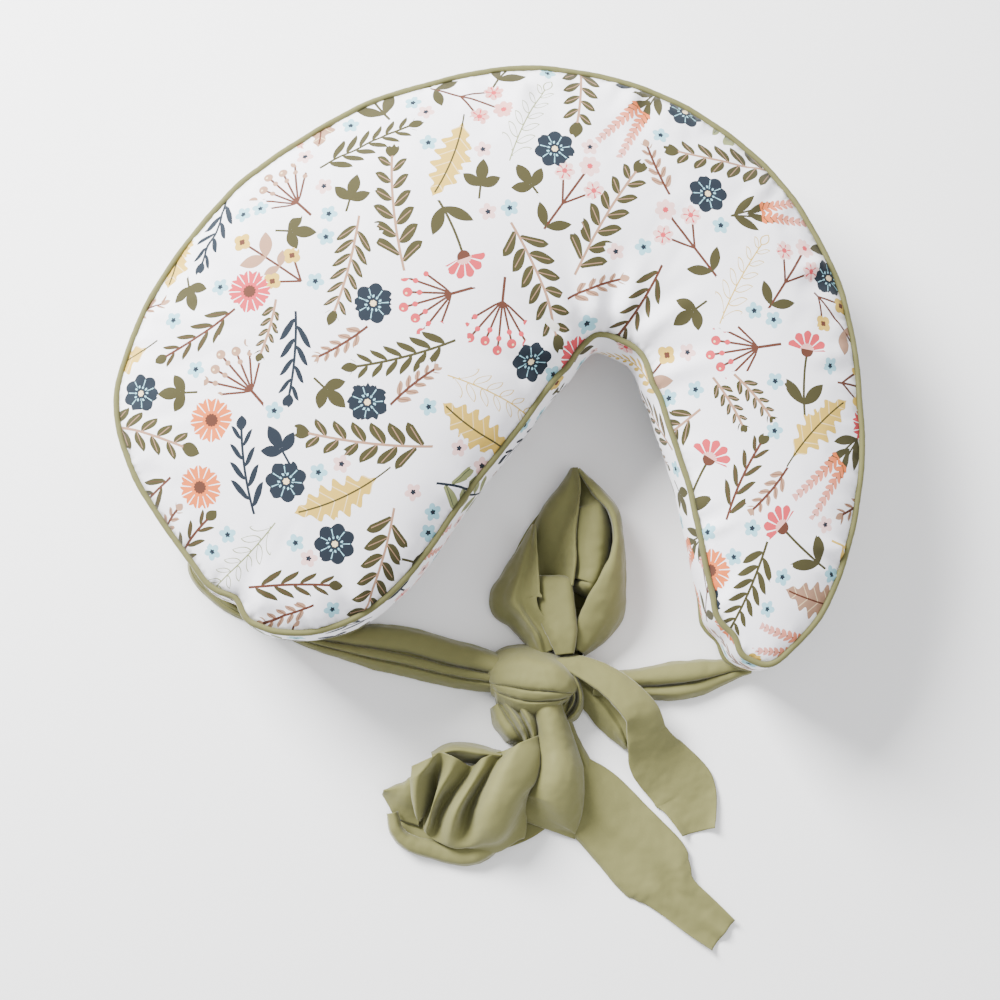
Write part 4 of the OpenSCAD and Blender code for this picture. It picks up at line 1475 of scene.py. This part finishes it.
def zip_coil(name, side):
    """One row of the coil: a flattened helix of monofilament."""
    turns = int(math.radians(CHAIN_TO - CHAIN_FROM) * BACK_R / COIL_PITCH)
    phase = np.linspace(0, turns * 2 * math.pi, turns * 9)
    angle = np.linspace(CHAIN_FROM, CHAIN_TO, len(phase))
    r = COIL_R + 0.8 * np.cos(phase)
    path = on_back(angle, r, ZIP_Z + side * (1.85 + 1.05 * np.sin(phase)))
    turn = np.radians(angle)
    way = np.stack([-np.sin(turn), np.cos(turn), 0 * turn], axis=1)
    return tube(name, path, 0.29 * MM, 5, False, way)


def stitch_row(name, points, length, radius):
    """A row of stitches along points that lie about a stitch apart, joined into one piece."""
    corners = []
    faces = []
    turn = 2 * math.pi * np.arange(6) / 6
    for a, b in zip(points[:-1], points[1:]):
        way = (b - a) / np.linalg.norm(b - a)
        side = np.cross(way, (0, 0, 1.0))
        side /= np.linalg.norm(side)
        up = np.cross(side, way)
        middle = (a + b) / 2
        first = len(corners)
        for at, size in ((-0.5, 0.35), (-0.32, 1), (0.32, 1), (0.5, 0.35)):
            for t in turn:
                aside = (side * np.cos(t) + up * np.sin(t)) * radius * size
                corners.append(middle + way * at * length + aside)
        for ring in (first, first + 6, first + 12):
            for j in range(6):
                k = (j + 1) % 6
                faces.append((ring + k, ring + j, ring + 6 + j, ring + 6 + k))
        faces.append(tuple(first + j for j in range(6)))
        faces.append(tuple(first + 18 + j for j in reversed(range(6))))
    return new_mesh(name, corners, faces)


def brushed_metal(name, colour):
    maker = Maker(name)
    fine = maker.noise(maker.stretched(maker.place(), (900, 900, 4200)), 1.0, 3.0)
    worn = maker.noise(maker.place(), 160.0, 3.0)
    maker.bump(fine, 0.03 * MM, 0.4)
    shade = maker.mix(worn, [c * 0.86 for c in colour], colour)
    return maker.finish(shade, worn * 0.18 + 0.24, Metallic=1.0)


def moulded_plastic(name, colour):
    maker = Maker(name)
    cloudy = maker.noise(maker.place(), 120.0, 2.0)
    maker.bump(maker.noise(maker.place(), 2600.0, 2.0), 0.02 * MM, 0.4)
    shade = maker.mix(cloudy, [c * 0.92 for c in colour], colour)
    return maker.finish(shade, cloudy * 0.1 + 0.33, Specular_IOR_Level=0.5)


def herringbone_tape(name, colour):
    """Zip tape: slanted threads that turn back every few rows, in height above the row's middle."""
    maker = Maker(name)
    x, y, z = maker.parts(maker.place())
    along = maker.math("ARCTAN2", y - BACK_CENTRE[1] * MM, x - BACK_CENTRE[0] * MM) * (BACK_R * MM)
    fold = abs(((z - ZIP_Z * MM) / TWILL_TURN).math("FRACT") - 0.5) * TWILL_TURN
    ridges = ((along + fold) * (2 * math.pi / (0.7 * MM))).math("SINE")
    maker.bump(ridges, 0.08 * MM, 0.6)
    # painted shade: the colour is darker in the grooves between the twill's ridges, the same ridges that
    # make the bump
    shade = maker.mix(ridges * 0.5 + 0.5, [c * 0.86 for c in colour], colour)
    return maker.finish(shade, 0.72, Sheen_Weight=0.15)


class PILLOW_OT_zip(bpy.types.Operator):
    """Makes the zip: both coil rows and the topstitching, and finishes its tapes, slider, tab and stops"""

    bl_idname = "pillow.zip"
    bl_label = "Zip"

    def execute(self, context):
        plastic = moulded_plastic("zip_coil_nylon", (0.72, 0.73, 0.70))
        for which, side in (("upper", 1), ("lower", -1)):
            coil = zip_coil(f"zip_teeth_{which}", side)
            coil.data.materials.append(plastic)
            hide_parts(f"zip_coil_{which}")
            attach(coil, "pillow")
        thread = soft_cloth("sewing_thread", (0.86, 0.86, 0.86), 0.3 * MM)
        count = int(math.radians(ZIP_TO - ZIP_FROM) * BACK_R / STITCH)
        angles = np.linspace(ZIP_FROM + 0.4, ZIP_TO - 0.4, count)
        for which, side in (("upper", 1), ("lower", -1)):
            points = on_back(angles, BACK_R - STRIP_INSET / MM + 0.05, ZIP_Z + side * (WINDOW / 2 + 2.2))
            row = stitch_row(f"topstitching_{which}", points, 2.5 * MM, 0.28 * MM)
            row.data.materials.append(thread)
            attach(row, "pillow")
        finishes = {
            "zip_tape_upper": herringbone_tape("zip_tape_weave", (0.62, 0.63, 0.60)),
            "zip_slider": brushed_metal("zip_metal", (0.62, 0.60, 0.57)),
        }
        finishes["zip_tape_lower"] = finishes["zip_tape_upper"]
        for node in ("zip_pull_tab", "zip_end_stops", "zip_bottom_stop"):
            finishes[node] = finishes["zip_slider"]
        for node, material in finishes.items():
            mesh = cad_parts[node].data
            mesh.materials.clear()
            mesh.materials.append(material)
        return {"FINISHED"}


class PILLOW_OT_stage(bpy.types.Operator):
    """Makes the floor, the light and the camera"""

    bl_idname = "pillow.stage"
    bl_label = "Stage"

    def execute(self, context):
        settings = context.scene.pillow_stage
        deselect()
        bpy.ops.mesh.primitive_plane_add(size=12, location=(0, 0, -0.2 * MM))
        floor = context.active_object
        floor.name = "floor"
        maker = Maker("pale_floor")
        floor.data.materials.append(maker.finish(settings.floor_colour, 0.9))
        world = bpy.data.worlds.new("studio")
        world.use_nodes = True
        context.scene.world = world
        world.node_tree.nodes["Background"].inputs[0].default_value = (0.97, 0.98, 1.0, 1)
        world.node_tree.nodes["Background"].inputs[1].default_value = 1.0
        for name, place, size, power in (
            ("key", (-1.3, 1.3, 1.4), 1.0, 250), ("fill", (1.4, -0.6, 1.9), 1.8, 20),
        ):
            lamp = bpy.data.lights.new(name, "AREA")
            lamp.size = size
            lamp.energy = power
            ob = bpy.data.objects.new(name, lamp)
            ob.location = place
            towards = Vector((0, 0.05, 0.08)) - Vector(place)
            ob.rotation_euler = towards.to_track_quat("-Z", "Y").to_euler()
            context.scene.collection.objects.link(ob)
        camera = bpy.data.cameras.new("camera")
        camera.lens = settings.lens
        camera.sensor_width = 36
        ob = bpy.data.objects.new("camera", camera)
        ob.rotation_euler = (math.radians(7.3), math.radians(-1.9), 0)
        aim = Vector((10, 0, TOP_SEAM)) * MM
        ob.location = aim + ob.rotation_euler.to_matrix() @ Vector((0, 0, settings.distance))
        context.scene.collection.objects.link(ob)
        context.scene.camera = ob
        return {"FINISHED"}


OPERATORS = (
    PILLOW_OT_stage, PILLOW_OT_cover, PILLOW_OT_piping, PILLOW_OT_inner_pillow, PILLOW_OT_zip, PILLOW_OT_tie,
)
SETTINGS = {
    "pillow_cover": CoverSettings, "pillow_piping": PipingSettings,
    "pillow_tie": TieSettings, "pillow_stage": StageSettings,
}


class PILLOW_PT_panel(bpy.types.Panel):
    """Lists the pillow's settings and the steps that make it"""

    bl_label = "Nursing Pillow"
    bl_idname = "PILLOW_PT_panel"
    bl_space_type = "VIEW_3D"
    bl_region_type = "UI"
    bl_category = "Pillow"

    def draw(self, context):
        for name in SETTINGS:
            group = getattr(context.scene, name)
            for key in group.__annotations__:
                self.layout.prop(group, key)
        for operator in OPERATORS:
            self.layout.operator(operator.bl_idname)


def register():
    for cls in (*SETTINGS.values(), *OPERATORS, PILLOW_PT_panel):
        bpy.utils.register_class(cls)
    for name, cls in SETTINGS.items():
        setattr(bpy.types.Scene, name, bpy.props.PointerProperty(type=cls))


def unregister():
    for name in SETTINGS:
        delattr(bpy.types.Scene, name)
    for cls in reversed((*SETTINGS.values(), *OPERATORS, PILLOW_PT_panel)):
        bpy.utils.unregister_class(cls)


def main():
    register()
    bpy.ops.pillow.stage()
    bpy.ops.pillow.cover()
    bpy.ops.pillow.piping()
    bpy.ops.pillow.inner_pillow()
    bpy.ops.pillow.zip()
    bpy.ops.pillow.tie()


if __name__ == "__main__":
    main()
